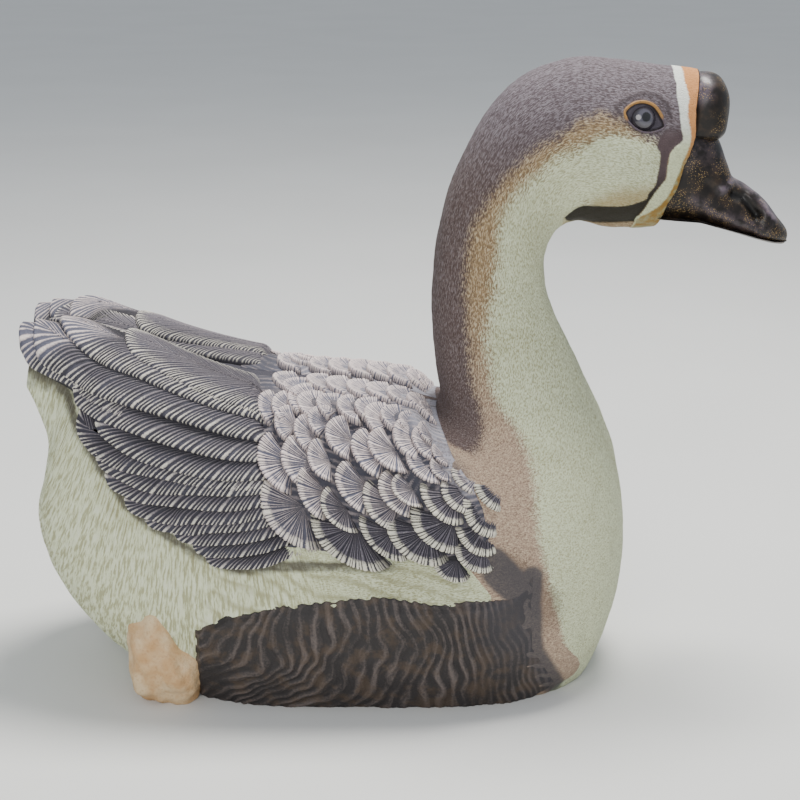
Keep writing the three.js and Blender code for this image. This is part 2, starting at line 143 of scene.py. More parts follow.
# ------------------------------------------------------------------ plain sums
def through(table, at):
    """A value between the rows of a table of two columns."""
    xs, ys = zip(*table)
    return np.interp(at, xs, ys)


def smooth(t):
    t = np.clip(t, 0, 1)
    return t * t * (3 - 2 * t)


def past(x, start, over):
    """0 up to start, and a smooth rise to 1 over this much more."""
    return smooth((x - start) / over)


def before(x, end, over):
    """0 from end on, and a smooth rise to 1 over this much less."""
    return smooth((end - x) / over)


def mix(a, b, t):
    return a + (b - a) * t


def bell(distance, reach):
    return np.exp(-(distance / reach) ** 2)


def steps(line):
    """How far each point of a line is from the next."""
    return np.linalg.norm(np.diff(line, axis=0), axis=1)


def running(values):
    """The running total of some steps, from 0."""
    return np.concatenate([[0], np.cumsum(values)])


def ripple(points, size, seed, waves=7):
    """Slow, seeded unevenness of about plus or minus one, with features of this size."""
    random = np.random.default_rng(seed)
    total = 0
    for _ in range(waves):
        way = random.normal(size=3)
        way *= 2 * math.pi / (size * random.uniform(0.7, 1.6)) / np.linalg.norm(way)
        total = total + np.sin(points @ way + random.uniform(0, 6.28))
    return total / math.sqrt(waves)


def inside(points, outline):
    """How far each x z point lies inside an outline, in millimetres, and below 0 outside."""
    outline = np.asarray(outline, float)
    least = near_line(points, np.concatenate([outline, outline[:1]]))
    within = np.zeros(len(points), bool)
    for a, b in zip(outline, np.roll(outline, -1, axis=0)):
        crosses = (a[1] > points[:, 1]) != (b[1] > points[:, 1])
        with np.errstate(divide="ignore", invalid="ignore"):
            x = a[0] + (points[:, 1] - a[1]) / (b[1] - a[1]) * (b[0] - a[0])
        within ^= crosses & (points[:, 0] < x)
    return np.where(within, least, -least)


def near_line(points, line):
    """How far each x z point lies from an open line."""
    least = np.full(len(points), 1e9)
    for a, b in zip(np.asarray(line[:-1], float), np.asarray(line[1:], float)):
        way = b - a
        t = np.clip(((points - a) @ way) / (way @ way + 1e-9), 0, 1)
        least = np.minimum(least, np.linalg.norm(points - a - t[:, None] * way, axis=1))
    return least


def softened(line):
    """The same line with its corners rounded."""
    return [tuple(point) for point in catmull(line, np.linspace(0, len(line) - 1, 3 * len(line)))]


# ------------------------------------------------------------------ wings over the skin
# Thickness by degrees, its growth by station, the front edge's stations from top to bottom,
# and the lower edge's degrees by station.
WING_THICKNESS = ((0, 6), (30, 13), (60, 12), (80, 7.5), (95, 7))
WING_GROWTH = (
    (10, .8), (11.5, .85), (12.5, .95), (15, 1), (16.5, 1.35), (18, 1.75), (20, 1.75),
    (21, 1.4), (22, 1),
)
WING_TOP, WING_SIDE, FRONT_FADE = 2.5, 88, 1.1
COVERT_FRONT = ((0, 10.5), (.42, 11.2), (.6, 11.55), (.78, 11.72), (.9, 11.95), (1, 12.3))
COVERT_LOWER = ((12.3, 88), (12.75, 90), (13.2, 88), (13.8, 82), (14.6, 81.5), (15.4, 80))


def wing_height(s, deg):
    """How high the wing stands over the skin."""
    front = through(COVERT_FRONT, (deg - WING_TOP) / (WING_SIDE - WING_TOP))
    risen = mix(0.12, 1, past(s, front, FRONT_FADE))
    growth = mix(1, through(WING_GROWTH, s), before(deg, 78, 35))
    return through(WING_THICKNESS, deg) * growth * risen


# ------------------------------------------------------------------ meshes
TILE_MARGIN, CAP_SPOT, CAP_RADIUS = 0.02, 0.01, 0.002      # shares of a tile of the chart
SLAB_SUNK = -2.0


def corners_of(grid):
    """The four corners of each cell of a grid."""
    return np.stack([grid[:-1, :-1], grid[:-1, 1:], grid[1:, 1:], grid[1:, :-1]], 2)


class Clay:
    """Gathers the patches of one piece: grids of points in millimetres, with the values
    that its finish reads and a tile of its chart each."""

    def __init__(self, tiles=1):
        self.points, self.faces, self.corners, self.caps = [], [], [], []
        self.values, self.count, self.used = {}, 0, 0
        self.across = math.ceil(math.sqrt(tiles))

    def patch(self, points, ring=True, ends=True, **values):
        """A grid of points, its columns closed to a ring, and its first and last rows capped."""
        rows, columns = points.shape[:2]
        number = self.count + np.arange(rows * columns).reshape(rows, columns)
        if ring:
            number = np.concatenate([number, number[:, :1]], 1)
        faces = corners_of(number).reshape(-1, 4)
        chart = np.meshgrid(np.linspace(0, 1, number.shape[1]), np.linspace(0, 1, rows))
        corners = corners_of(np.stack(chart, -1)).reshape(-1, 4, 2)
        flat = points.reshape(-1, 3)
        a, b, c, d = (flat[faces[:, k] - self.count] for k in range(4))
        outward = (np.cross(b - a, c - a) + np.cross(c - a, d - a)) * (a - flat.mean(0))
        turned = 1 if outward.sum() >= 0 else -1
        tile = np.array([self.used % self.across, self.used // self.across])
        self.used += 1
        self.points.append(flat)
        self.faces.append(faces[:, ::turned])
        corners = tile + TILE_MARGIN + (1 - 2 * TILE_MARGIN) * corners[:, ::turned]
        self.corners.append(corners / self.across)
        if ends:
            self.caps += [(number[0, :columns][::-turned], tile),
                          (number[-1, :columns][::turned], tile)]
        for name in {**self.values, **values}:
            held = self.values.setdefault(name, [np.zeros(self.count)] if self.count else [])
            given = np.asarray(values.get(name, 0.0), float)
            held.append(np.broadcast_to(given, (rows, columns)).reshape(-1))
        self.count += rows * columns

    def build(self, name, finish, slot, *nodes):
        """Makes the piece, rides it on the body and lets it stand for its CAD nodes."""
        points = np.clip(np.concatenate(self.points) * MM, *CAD_BOX)
        quads = np.concatenate(self.faces)
        loops, chart = [quads.reshape(-1)], [np.concatenate(self.corners).reshape(-1, 2)]
        for cap, tile in self.caps:
            loops.append(cap)
            turn = np.linspace(0, 2 * math.pi, len(cap), endpoint=False)
            dot = np.stack([np.cos(turn), np.sin(turn)], -1) * CAP_RADIUS
            chart.append((tile + CAP_SPOT + dot) / self.across)
        loops, chart = np.concatenate(loops), np.concatenate(chart)
        starts = running([4] * len(quads) + [len(cap) for cap, _ in self.caps])[:-1]
        mesh = bpy.data.meshes.new(name)
        mesh.vertices.add(len(points))
        mesh.vertices.foreach_set("co", points.astype(np.float32).ravel())
        mesh.loops.add(len(loops))
        mesh.loops.foreach_set("vertex_index", loops.astype(np.int32))
        mesh.polygons.add(len(starts))
        mesh.polygons.foreach_set("loop_start", starts.astype(np.int32))
        mesh.polygons.foreach_set("use_smooth", np.ones(len(starts), bool))
        mesh.update(calc_edges=True)
        chart_layer = mesh.uv_layers.new(name="OFBake")
        chart_layer.data.foreach_set("uv", chart.astype(np.float32).ravel())
        for key, held in self.values.items():
            layer = mesh.attributes.new(key, "FLOAT", "POINT")
            layer.data.foreach_set("value", np.concatenate(held).astype(np.float32))
        mesh.materials.append(finish)
        piece = bpy.data.objects.new(name, mesh)
        bpy.context.scene.collection.objects.link(piece)
        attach(piece, "root")
        if nodes:
            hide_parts(*nodes)


def mirrored(points, side):
    return points * (1, side, 1)


def slab(S, D, height):
    """The top of a slab on the skin, inside a rim that is sunk under the skin."""
    low = off_skin(S, D, np.full(S.shape, SLAB_SUNK))
    block = np.pad(low, ((1, 1), (1, 1), (0, 0)), "edge")
    block[1:-1, 1:-1] = off_skin(S, D, height)
    return block


def padded(value, shape):
    """A value of a slab's top, with 0 on its rim."""
    return np.pad(np.broadcast_to(value, shape), 1)


def ball(rows, columns, order, pole=1.53):
    """A unit ball in rings round the last of its axes; order names them for x, y and z."""
    turn = np.linspace(0, 2 * math.pi, columns, endpoint=False)[None, :]
    rise = np.linspace(-pole, pole, rows)[:, None]
    axes = (np.cos(rise) * np.cos(turn), np.cos(rise) * np.sin(turn),
            np.sin(rise) * np.ones_like(turn))
    return np.stack([axes[k] for k in order], -1)


# ------------------------------------------------------------------ finishes
class Wire:
    """A socket of a finish; sums and products of wires add its Math nodes."""

    def __init__(self, finish, socket):
        self.finish, self.socket = finish, socket

    def maths(self, operation, *values):
        return self.finish.node("ShaderNodeMath", dict(operation=operation), *values)

    def __add__(self, other): return self.maths("ADD", self, other)
    def __radd__(self, other): return self.maths("ADD", other, self)
    def __sub__(self, other): return self.maths("SUBTRACT", self, other)
    def __rsub__(self, other): return self.maths("SUBTRACT", other, self)
    def __mul__(self, other): return self.maths("MULTIPLY", self, other)

    def rise(self, start, end):
        """0 up to start, 1 from end, and a smooth rise between."""
        settings = dict(interpolation_type="SMOOTHSTEP")
        return self.finish.node("ShaderNodeMapRange", settings, self, start, end, 0.0, 1.0)


class Finish:
    """A node-based finish that ends in one Principled shader."""

    def __init__(self, name):
        self.material = bpy.data.materials.new(name)
        self.material.use_nodes = True
        self.tree = self.material.node_tree
        self.tree.nodes.clear()
        self.shader = self.tree.nodes.new("ShaderNodeBsdfPrincipled")
        output = self.tree.nodes.new("ShaderNodeOutputMaterial")
        self.tree.links.new(self.shader.outputs[0], output.inputs[0])
        self.place = self.node("ShaderNodeTexCoord", {}, out="Object")

    def plug(self, socket, value):
        if isinstance(value, Wire):
            self.tree.links.new(value.socket, socket)
        else:
            socket.default_value = value

    def node(self, kind, settings, *values, out=0, **named):
        """A node of this kind: its settings first, then its sockets in order or by name."""
        made = self.tree.nodes.new(kind)
        for key, value in settings.items():
            setattr(made, key, value)
        for socket, value in zip(made.inputs, values):
            self.plug(socket, value)
        for key, value in named.items():
            self.plug(made.inputs[key], value)
        return Wire(self, made.outputs[out])

    def value(self, name):
        """A value that the mesh carries."""
        return self.node("ShaderNodeAttribute", dict(attribute_name=name), out="Fac")

    def noise(self, scale, detail=2.0, roughness=0.5, at=None):
        return self.node("ShaderNodeTexNoise", {}, Vector=at or self.place, Scale=scale,
                         Detail=detail, Roughness=roughness)

    def cells(self, scale):
        return self.node("ShaderNodeTexVoronoi", {}, Vector=self.place, Scale=scale)

    def vector(self, x, y, z):
        return self.node("ShaderNodeCombineXYZ", {}, x, y, z)

    def blend(self, low, high, share):
        made = self.tree.nodes.new("ShaderNodeMix")
        made.data_type = "RGBA"
        for index, value in ((0, share), (6, low), (7, high)):
            self.plug(made.inputs[index], value)
        return Wire(self, made.outputs[2])

    def layered(self, color, *washes):
        """The colour under washes, each a colour and its share, laid on one after another."""
        for wash, share in washes:
            color = self.blend(color, wash, share)
        return color

    def finish(self, color, roughness, bump=None, depth=1.0, **constants):
        self.plug(self.shader.inputs["Base Color"], color)
        self.plug(self.shader.inputs["Roughness"], roughness)
        if bump is not None:
            normal = self.node("ShaderNodeBump", {}, Strength=1.0, Distance=depth * MM,
                               Height=bump)
            self.plug(self.shader.inputs["Normal"], normal)
        for key, value in constants.items():
            self.plug(self.shader.inputs[key.replace("_", " ")], value)
        return self.material


def shade(red, green, blue):
    """A colour given as it looks on screen, 0 to 255."""
    return tuple(((c / 255 + 0.055) / 1.055) ** 2.4 for c in (red, green, blue)) + (1.0,)


MAUVE, MAUVE_BROWN, MAUVE_DARK = shade(108, 98, 104), shade(98, 82, 77), shade(62, 50, 49)
TAN, ROSY_TAN, STRAW = shade(152, 127, 90), shade(172, 148, 128), shade(204, 188, 160)
CREAM, CREAM_DARK, WHITE = shade(206, 212, 176), shade(150, 148, 112), shade(228, 231, 222)
ORANGE, OCHRE, UMBER = shade(202, 140, 86), shade(144, 112, 52), shade(92, 74, 62)
# PAINTED_SHADE_SLATE is the dark of the painted shade between and under the feathers
SLATE, PAINTED_SHADE_SLATE, LAVENDER = shade(98, 93, 102), shade(34, 33, 38), shade(176, 173, 180)
BLUSH, RIM, SKY_LIGHT_GREY = shade(214, 198, 194), shade(212, 208, 190), shade(112, 108, 112)
GROOVE_GREY, GROOVE_DARK = shade(90, 91, 106), shade(44, 42, 50)
BACK_SLATE, WING_SHADOW_COLOUR, CORNER_SLATE = shade(70, 68, 76), shade(66, 60, 56), shade(64, 64, 70)
BAND_MAUVE, BAND_BLACK, BROW_MAUVE = shade(82, 68, 70), shade(38, 34, 24), shade(64, 54, 56)
SOCKET_DARK, SOCKET_GREY, SEAM_BROWN = shade(44, 38, 41), shade(80, 75, 84), shade(44, 34, 30)
FLANK_BLACK, FLANK_BROWN = shade(38, 34, 34), shade(96, 86, 82)
FLANK_EARTH, FLANK_SLATE = shade(72, 57, 42), shade(62, 60, 66)
GLAZE_BLACK, GLAZE_BROWN, GLAZE_BLOOM = shade(23, 18, 15), shade(48, 37, 28), shade(92, 82, 92)
GOLD, NOSTRIL_SHADE = shade(196, 164, 104), shade(14, 11, 9)
PUPIL, IRIS, EYE_RIM = shade(14, 14, 16), shade(76, 74, 84), shade(48, 44, 50)
LID_MAUVE, LID_GOLD = shade(86, 76, 86), shade(156, 116, 64)
FOOT_OCHRE, FOOT_PALE, FOOT_RUST = shade(184, 146, 102), shade(206, 184, 148), shade(150, 106, 66)


def body_finish():
    """Matte clay with brown washes over cream, laid on in fine strokes."""
    f = Finish("body_clay")
    value = f.value
    along, around, sideways, low = value("along"), value("around"), value("sideways"), value("low")
    grain, mottle = f.noise(620.0, 3.0, 0.65), f.noise(150.0, 3.0, 0.6)
    patch, dots = f.noise(28.0, 2.0), f.noise(900.0, 3.0, 0.6)
    speck, blot = grain - 0.5, mottle - 0.5
    # strokes: short worms on head and neck, long fibres at the rear, dots on the breast
    twist = blot * 1.4
    worm = f.noise(1.0, 3.0, 0.62,
                   f.vector(along * 0.4 + twist, around * 1.2 + twist, sideways * 0.5))
    fibre = f.noise(1.0, 4.0, 0.6,
                    f.vector(along * 0.66 + twist * 0.5, around * 0.085, sideways * 0.04))
    strokes = worm + (fibre - worm) * value("rear")
    strokes = strokes + (dots - strokes) * value("breast") * 0.55
    groove, crest = strokes.rise(0.54, 0.4), strokes.rise(0.48, 0.64)
    stipple = (strokes - 0.5) * 2.6 + speck * 1.2 + blot
    # the washes, over the tan of the bare clay
    cream = (value("cream") * 0.085 + stipple).rise(-0.6, 0.7)
    dusk = (value("dusk") * 0.1 - stipple).rise(-0.6, 0.7)
    tan = f.layered(f.blend(TAN, ROSY_TAN, low.rise(1.4, 2.6)),
                    (STRAW, crest * 0.7), (UMBER, groove * 0.6))
    mauve = f.layered(f.blend(MAUVE, MAUVE_BROWN, low.rise(0.1, 0.9)),
                      (LAVENDER, crest * 0.26), (MAUVE_DARK, groove * 0.65))
    lit_cream = f.blend(CREAM, WHITE, crest * 0.3)
    pale = f.blend(lit_cream, CREAM_DARK, groove * 0.8 + patch.rise(0.5, 0.75) * 0.2)
    cheek = f.layered(lit_cream, (CREAM_DARK, groove * 0.7),
                      (OCHRE, (value("low_cheek") + stipple * 5.0).rise(-6.0, 10.0) * 0.6))
    band = f.blend(BAND_MAUVE, BAND_BLACK, low.rise(0.6, 0.84))
    blaze = f.layered(WHITE, (CREAM, low.rise(0.3, 0.5)), (CREAM_DARK, groove * low * 0.6))
    orange = f.blend(ORANGE, f.blend(OCHRE, CREAM_DARK, mottle.rise(0.4, 0.7)),
                     low.rise(0.35, 0.65))
    hollow = f.blend(SOCKET_DARK, SOCKET_GREY, value("socket").rise(1.2, 2.8))
    color = f.layered(
        tan,
        (mauve, dusk),
        (pale, cream),
        (CREAM_DARK, value("flow").rise(0.55, 0.0) * 0.7 * cream),
        (UMBER, (value("umber") - stipple * 0.5).rise(0.3, 1.0) * 0.5),
        (BACK_SLATE, value("back")),
        # painted shadow on the body under the wing's lower edge
        (WING_SHADOW_COLOUR, (value("painted_wing_shadow") + blot * 0.9).rise(0.2, 1.0) * 0.85),
        (CORNER_SLATE, (value("dark_corner") + stipple * 0.25).rise(0.1, 0.9) * 0.85),
        (cheek, (value("cheek") + stipple * 2.0).rise(-1.5, 1.5)),
        (band, (value("band") + speck * 2.0).rise(-1.0, 1.0) * low.rise(0.3, 0.42)),
        (blaze, (value("blaze") + speck * 1.2).rise(-0.5, 0.6)),
        (orange, (value("orange") + stipple * 1.2).rise(-0.8, 1.0)),
        (BROW_MAUVE, (value("brow") + speck * 0.4).rise(0.1, 0.9) * 0.7),
        (hollow, value("socket").rise(-0.6, 0.8)),
        (SEAM_BROWN, value("ahead").rise(-0.5, 0.0)),
    )
    return f.finish(color, 0.78 + speck * 0.2, strokes + grain * 0.4 + mottle * 0.25, 1.6,
                    Specular_IOR_Level=0.3)


def feather_finish(name, rim_from, rim_to, rub):
    """Slate wash that has run into the grooves, with the crests of the barbs rubbed pale."""
    f = Finish(name)
    grain, mottle = f.noise(700.0, 3.0, 0.65), f.noise(130.0, 3.0, 0.6)
    speck, blot = grain - 0.5, mottle - 0.5
    ridge, pale, low = f.value("ridge"), f.value("pale"), f.value("low")
    crest = f.blend(BLUSH, SLATE, low + blot * 0.8)
    groove = f.blend(GROOVE_GREY, GROOVE_DARK, low + blot)
    tone = (f.value("tone") - 0.5) * 0.25
    edge = (f.value("rim") + speck * 0.16 + blot * 0.1).rise(rim_from, rim_to)
    rubbed = f.blend(BLUSH, RIM, low + blot * 1.6)
    # painted sky light: pale lavender and grey mottle where the feathers are marked pale, most on
    # the top of the wing
    sky_light_mottle = f.blend(LAVENDER, SKY_LIGHT_GREY, (grain * 0.5 + mottle * 0.7).rise(0.52, 0.7))
    color = f.layered(
        groove,
        (crest, (ridge + speck * 0.5 + blot * 1.1 + tone).rise(0.4, 1.05)),
        (rubbed, edge * (ridge + speck * 0.8).rise(rub, rub + 0.5) * 0.9),
        (sky_light_mottle, (mottle * 0.8 + pale * 0.6).rise(0.5, 0.95) * pale * 0.6),
        # painted highlights: white specks on the barb crests, fewer on the lower feathers
        (WHITE, (grain * ridge).rise(0.5, 0.66) * (1.0 - low * 0.6) * 0.55),
        # painted shade: dark slate where a feather carries deep, in the gaps under margins and on
        # the hidden rows
        (PAINTED_SHADE_SLATE, f.value("deep")),
    )
    return f.finish(color, 0.72 + speck * 0.25, grain * 0.6 + mottle * 0.3, 0.8,
                    Specular_IOR_Level=0.35)


def flank_finish():
    f = Finish("flank_wash")
    grain, mottle = f.noise(600.0, 3.0, 0.65), f.noise(60.0, 3.0, 0.6)
    speck, blot = grain - 0.5, mottle - 0.5
    color = f.layered(
        FLANK_BLACK,
        (FLANK_BROWN, (f.value("ridge") + speck * 1.2 + blot).rise(0.2, 1.2)),
        (FLANK_EARTH, mottle.rise(0.45, 0.65) * 0.55),
        (FLANK_SLATE, f.value("corner") * 0.45),
    )
    return f.finish(color, 0.62 + speck * 0.2, grain * 0.6, 0.9, Specular_IOR_Level=0.4)


def bill_finish():
    """Dark glossy glaze with fine golden specks."""
    f = Finish("bill_glaze")
    drift, warm = f.noise(60.0, 2.0), f.noise(120.0, 3.0, 0.6)
    gold = f.cells(900.0).rise(0.3, 0.14) * drift.rise(0.42, 0.56)
    color = f.layered(
        GLAZE_BLACK,
        (GLAZE_BROWN, warm.rise(0.4, 0.7)),
        (GLAZE_BLOOM, f.value("bloom") * warm.rise(0.3, 0.6)),
        (GOLD, gold * 0.8),
        # painted shade in the nostril hollow
        (NOSTRIL_SHADE, f.value("hollow").rise(0.25, 0.8)),
    )
    return f.finish(color, 0.4 + gold * 0.2, warm * 0.5 + gold * 0.15, 0.6,
                    Specular_IOR_Level=0.28, Coat_Weight=0.08, Coat_Roughness=0.12)


def eye_finish():
    f = Finish("eye_glaze")
    far, speck = f.value("from_pupil"), f.noise(900.0, 2.0) - 0.5
    color = f.layered(PUPIL, (IRIS, (far + speck * 0.8).rise(2.9, 3.9)),
                      (EYE_RIM, far.rise(5.2, 8.2)))
    return f.finish(color, 0.12, None, Coat_Weight=0.6, Coat_Roughness=0.05)


def lid_finish():
    f = Finish("lid_wash")
    grain = f.noise(700.0, 3.0)
    color = f.layered(LID_MAUVE, (LID_GOLD, f.value("gold")), (UMBER, grain.rise(0.45, 0.7) * 0.5))
    return f.finish(color, 0.6, grain, 0.4, Specular_IOR_Level=0.35)


def foot_finish():
    f = Finish("foot_wash")
    grain, mottle = f.noise(500.0, 3.0), f.noise(55.0, 3.0, 0.6)
    color = f.layered(FOOT_OCHRE, (FOOT_PALE, mottle.rise(0.3, 0.75)),
                      (FOOT_RUST, grain.rise(0.5, 0.75) * 0.35))
    return f.finish(color, 0.7, grain * 0.6 + mottle * 0.6, 1.2, Specular_IOR_Level=0.35)


# ------------------------------------------------------------------ body
# Edges of washes by station, and the wing's lower edge that the painted shadow hangs below, in
# degrees from the back; where it is over 200 there is no wash.
DUSK_EDGE = (
    (0, 88), (1.6, 88), (2.4, 82), (2.9, 72), (3.4, 68), (3.76, 72), (4.28, 79), (5.12, 80),
    (5.83, 72), (6.62, 63), (7.17, 61), (7.68, 62), (8.21, 63), (8.83, 59), (9.23, 59),
    (9.62, 60), (10.9, 55), (11.6, 30), (12.2, -20), (22, -20),
)
WING_SHADOW_EDGE = (
    (13, 88), (13.8, 82), (14.6, 81.5), (15.4, 82), (16, 84), (16.5, 83), (17, 81.5),
    (17.5, 80), (18, 76), (18.5, 73.5), (19, 72.5), (19.5, 69), (19.9, 68), (20.3, 71),
    (20.9, 79), (21.3, 84), (22, 86),
)
CREAM_EDGE = (
    (0, 250), (3.7, 250), (3.95, 95), (4.32, 88), (4.97, 94), (5.61, 88), (6.14, 85),
    (6.87, 91), (7.53, 87), (8.16, 77), (8.76, 73), (9.33, 73), (9.75, 83), (10.39, 88),
    (11.2, 91), (11.56, 95), (11.77, 100), (12.11, 107), (12.29, 113.5), (12.55, 124),
    (12.73, 133), (12.8, 140), (12.84, 140), (13.0, 60), (22, 40),
)
# Outlines and lines on the side of the head and breast, as x z points.
BLAZE_REAR = (
    (228, 520), (228, 480), (229, 472), (229, 464), (231, 454), (232, 443), (234, 433),
    (228, 428), (224, 422), (223, 412), (223, 406), (221, 402), (216, 395), (212, 388),
    (209, 382), (205, 375), (203, 371), (199, 340),
)
SPLIT = (
    (234, 520), (235, 479), (236, 471), (238, 463), (237, 456), (238, 446), (240, 435),
    (238, 426), (234, 417), (232, 409), (230, 403), (227, 394), (223, 387), (218, 382),
    (211, 377), (204, 371), (200, 340),
)
CHEEK = (
    (138, 418), (150, 426), (163, 433), (183, 437), (198, 434), (206, 431), (214, 429),
    (217, 424), (217, 415), (216, 407), (215, 400), (210, 393), (209, 389), (201, 386),
    (191, 384), (176, 384), (159, 383), (146, 377), (138, 370),
)
BAND = (
    (140, 374), (146, 377), (159, 383), (176, 384), (191, 384), (201, 386), (209, 389),
    (210, 393), (215, 400), (216, 407), (217, 415), (217, 424), (214, 429), (220, 440),
    (232, 443), (234, 433), (228, 428), (224, 422), (223, 412), (223, 406), (221, 402),
    (216, 395), (212, 388), (209, 382), (205, 375), (203, 369), (180, 368), (150, 366),
)
FACE_SEAM = (
    (252, 500), (248, 480), (244, 454), (244, 434), (240, 422), (236, 413), (232, 394),
    (226, 383), (223, 372), (216, 350),
)
WEDGE = (
    (88, 140), (100, 138), (108, 130), (116, 121), (121, 112), (119, 100), (109, 94), (97, 103),
    (86, 115),
)
BROW = ((186, 453), (182, 458), (192, 464), (203, 467), (214, 465), (221, 459), (224, 450))
LID = (
    (189, 453), (191, 457), (197, 460.5), (204, 461), (211, 458.5), (216, 453), (219.5, 446),
    (220, 442.5), (215, 440), (208, 439), (200, 441), (193, 446.5),
)
SOCKET_CENTRE, SOCKET_REACH = (204.5, 449), (10.5, 7.5)
AHEAD_OF_FACE = [(300, 340), (300, 520)]
HEAD_STEP, BODY_STEP, RING_COLUMNS = 1.7, 4.2, 208        # rings this many millimetres apart
LAST_STATION, HEAD_END = 20.95, 5.2
BEHIND, FAR_OFF = -50, 1e3                                # distances where a mark isn't


def rows_along():
    """Stations of the skin's rings, close together on the head and neck."""
    s = np.linspace(0, LAST_STATION, 4000)
    reach = np.max([steps(skin(s, deg)) for deg in (0, 60, 120, 180)], axis=0)
    apart = np.interp(s[1:], (0, 9, 12, LAST_STATION), (HEAD_STEP, HEAD_STEP, BODY_STEP, BODY_STEP))
    total = running(reach / apart)
    return np.interp(np.linspace(0, total[-1], int(total[-1])), total, s)


def flank_line(q):
    """Stations of the front edge of the flank's slab."""
    return through(FLANK_FRONT, q) - 0.25 * (1 - q)


def flank_front():
    """The same edge as x z points."""
    q = np.linspace(0, 1, 9)
    s = flank_line(q) + 0.02
    return skin(s, mix(through(FLANK_TOP, s), FLANK_BOTTOM, q))[:, [0, 2]]


def seam_at(z):
    """Where the face ends and the bill begins, at this height."""
    return through([(height, x) for x, height in FACE_SEAM[::-1]], z)


class Rings:
    """The rings of the body's skin: stations, degrees, points, and millimetres of skin from
    the middle of the back."""

    def __init__(self):
        self.row = rows_along()
        self.middle = RING_COLUMNS // 2
        self.share = np.linspace(-1, 1, RING_COLUMNS, endpoint=False)
        self.power = np.interp(self.row, (10, 13), (1.0, 0.72))
        round_ = np.abs(self.share)[None, :] ** self.power[:, None]
        self.deg = 180 * np.sign(self.share)[None, :] * round_
        self.s = self.row[:, None] * np.ones((1, RING_COLUMNS))
        self.base = skin(self.s, self.deg)
        self.side_view = self.base.reshape(-1, 3)[:, [0, 2]]
        width = np.linalg.norm(np.diff(self.base, axis=1), axis=-1)
        self.arc = np.zeros(self.s.shape)
        self.arc[:, self.middle + 1:] = np.cumsum(width[:, self.middle:], axis=1)
        self.arc[:, :self.middle] = np.cumsum(width[:, :self.middle][:, ::-1], axis=1)[:, ::-1]

    def edge(self, table):
        """Millimetres from the back to the edge of a wash."""
        edge = through(table, self.row)
        share = np.sign(edge) * (np.abs(edge) / 180) ** (1 / self.power)
        right = [np.interp(e, self.share[self.middle:], arc[self.middle:])
                 for e, arc in zip(share, self.arc)]
        return np.where(edge > 200, FAR_OFF, np.where(edge < 0, BEHIND, right))[:, None]

    def on_head(self, value, elsewhere=BEHIND):
        """A function of the head's x z points, and another value elsewhere."""
        head = (self.s < HEAD_END).reshape(-1)
        out = np.full(len(self.side_view), elsewhere, float)
        out[head] = value(self.side_view[head])
        return out.reshape(self.s.shape)

    def within(self, outline):
        return self.on_head(lambda p: inside(p, outline))


def body_marks(r):
    """What the body's finish reads: millimetres inside the edge of each mark, and shares."""
    s, arc, deg = r.s, r.arc, np.abs(r.deg)
    x, y, z = np.moveaxis(r.base, -1, 0)
    along = running(steps(skin(r.row, 90)))[:, None] * np.ones((1, RING_COLUMNS))
    strip = past(s, 12.6, 0.8) * before(s, 17.4, 1.5) * past(deg, 70, 10)
    wave = np.sin((along * 0.55 + arc) / 2.6 + ripple(r.base, 60, 5) * 1.6)
    cream = np.maximum(arc - r.edge(CREAM_EDGE), r.within(softened(CHEEK)))
    turn = arc / arc[:, -1:] * 180
    under = before(s, 14.4, 0.5) * past(s, 12.6, 0.3) * past(turn, 97, 6) * before(turn, 152, 10)
    breast_front = before(s, 13.2, 0.9) * past(s, 11.7, 0.6) * past(deg, 84, 8)
    wedge = np.clip(inside(r.side_view, softened(WEDGE)) / 5 + 0.5, 0, 1)
    flank_edge = np.clip(2.0 - near_line(r.side_view, flank_front()) / 6, 0, 1)
    # how far below the wing's lower edge, and how far down the painted shadow reaches
    below = arc - r.edge(WING_SHADOW_EDGE)
    reach = np.interp(r.row, (15, 18.5, 20, 21), (5, 8, 15, 24))[:, None]
    marks = dict(
        dusk=r.edge(DUSK_EDGE) - arc,
        cream=cream - 400 * under,
        cheek=cream - 25 * past(s, 3.4, 1.4) - 400 * past(s, 4.4, 1.2),
        along=along, around=arc, sideways=y,
        blaze=r.within(softened(BLAZE_REAR) + AHEAD_OF_FACE),
        orange=r.within(softened(SPLIT) + AHEAD_OF_FACE),
        low_cheek=r.on_head(lambda p: 400 - p[:, 1]) - 28 * past(s, 2.8, 2.0),
        band=r.within(softened(BAND)) - 7 * before(x, 162, 20),
        low=(480 - z) / 110,
        breast=past(s, 9, 1.5) * before(s, 13.4, 0.8),
        brow=r.on_head(lambda p: 1 - near_line(p, BROW) / 3.2, -1),
        umber=breast_front * before(deg, 126, 16),
        ahead=r.on_head(lambda p: p[:, 0] - seam_at(p[:, 1])),
        flow=1 - strip * (0.5 - 0.5 * wave),
        rear=past(s, 14.2, 1.6) * past(deg, 60, 10),
        dark_corner=np.maximum(wedge, flank_edge).reshape(s.shape) * (s > 11),
        socket=r.within(LID),
        painted_wing_shadow=past(s, 13.6, 0.6) * past(below, -8, 4) * (1 - np.clip(below / reach, 0, 1)),
        back=past(s, 11.2, 0.8) * before(deg, 66, 8),
    )
    return marks, strip, wave


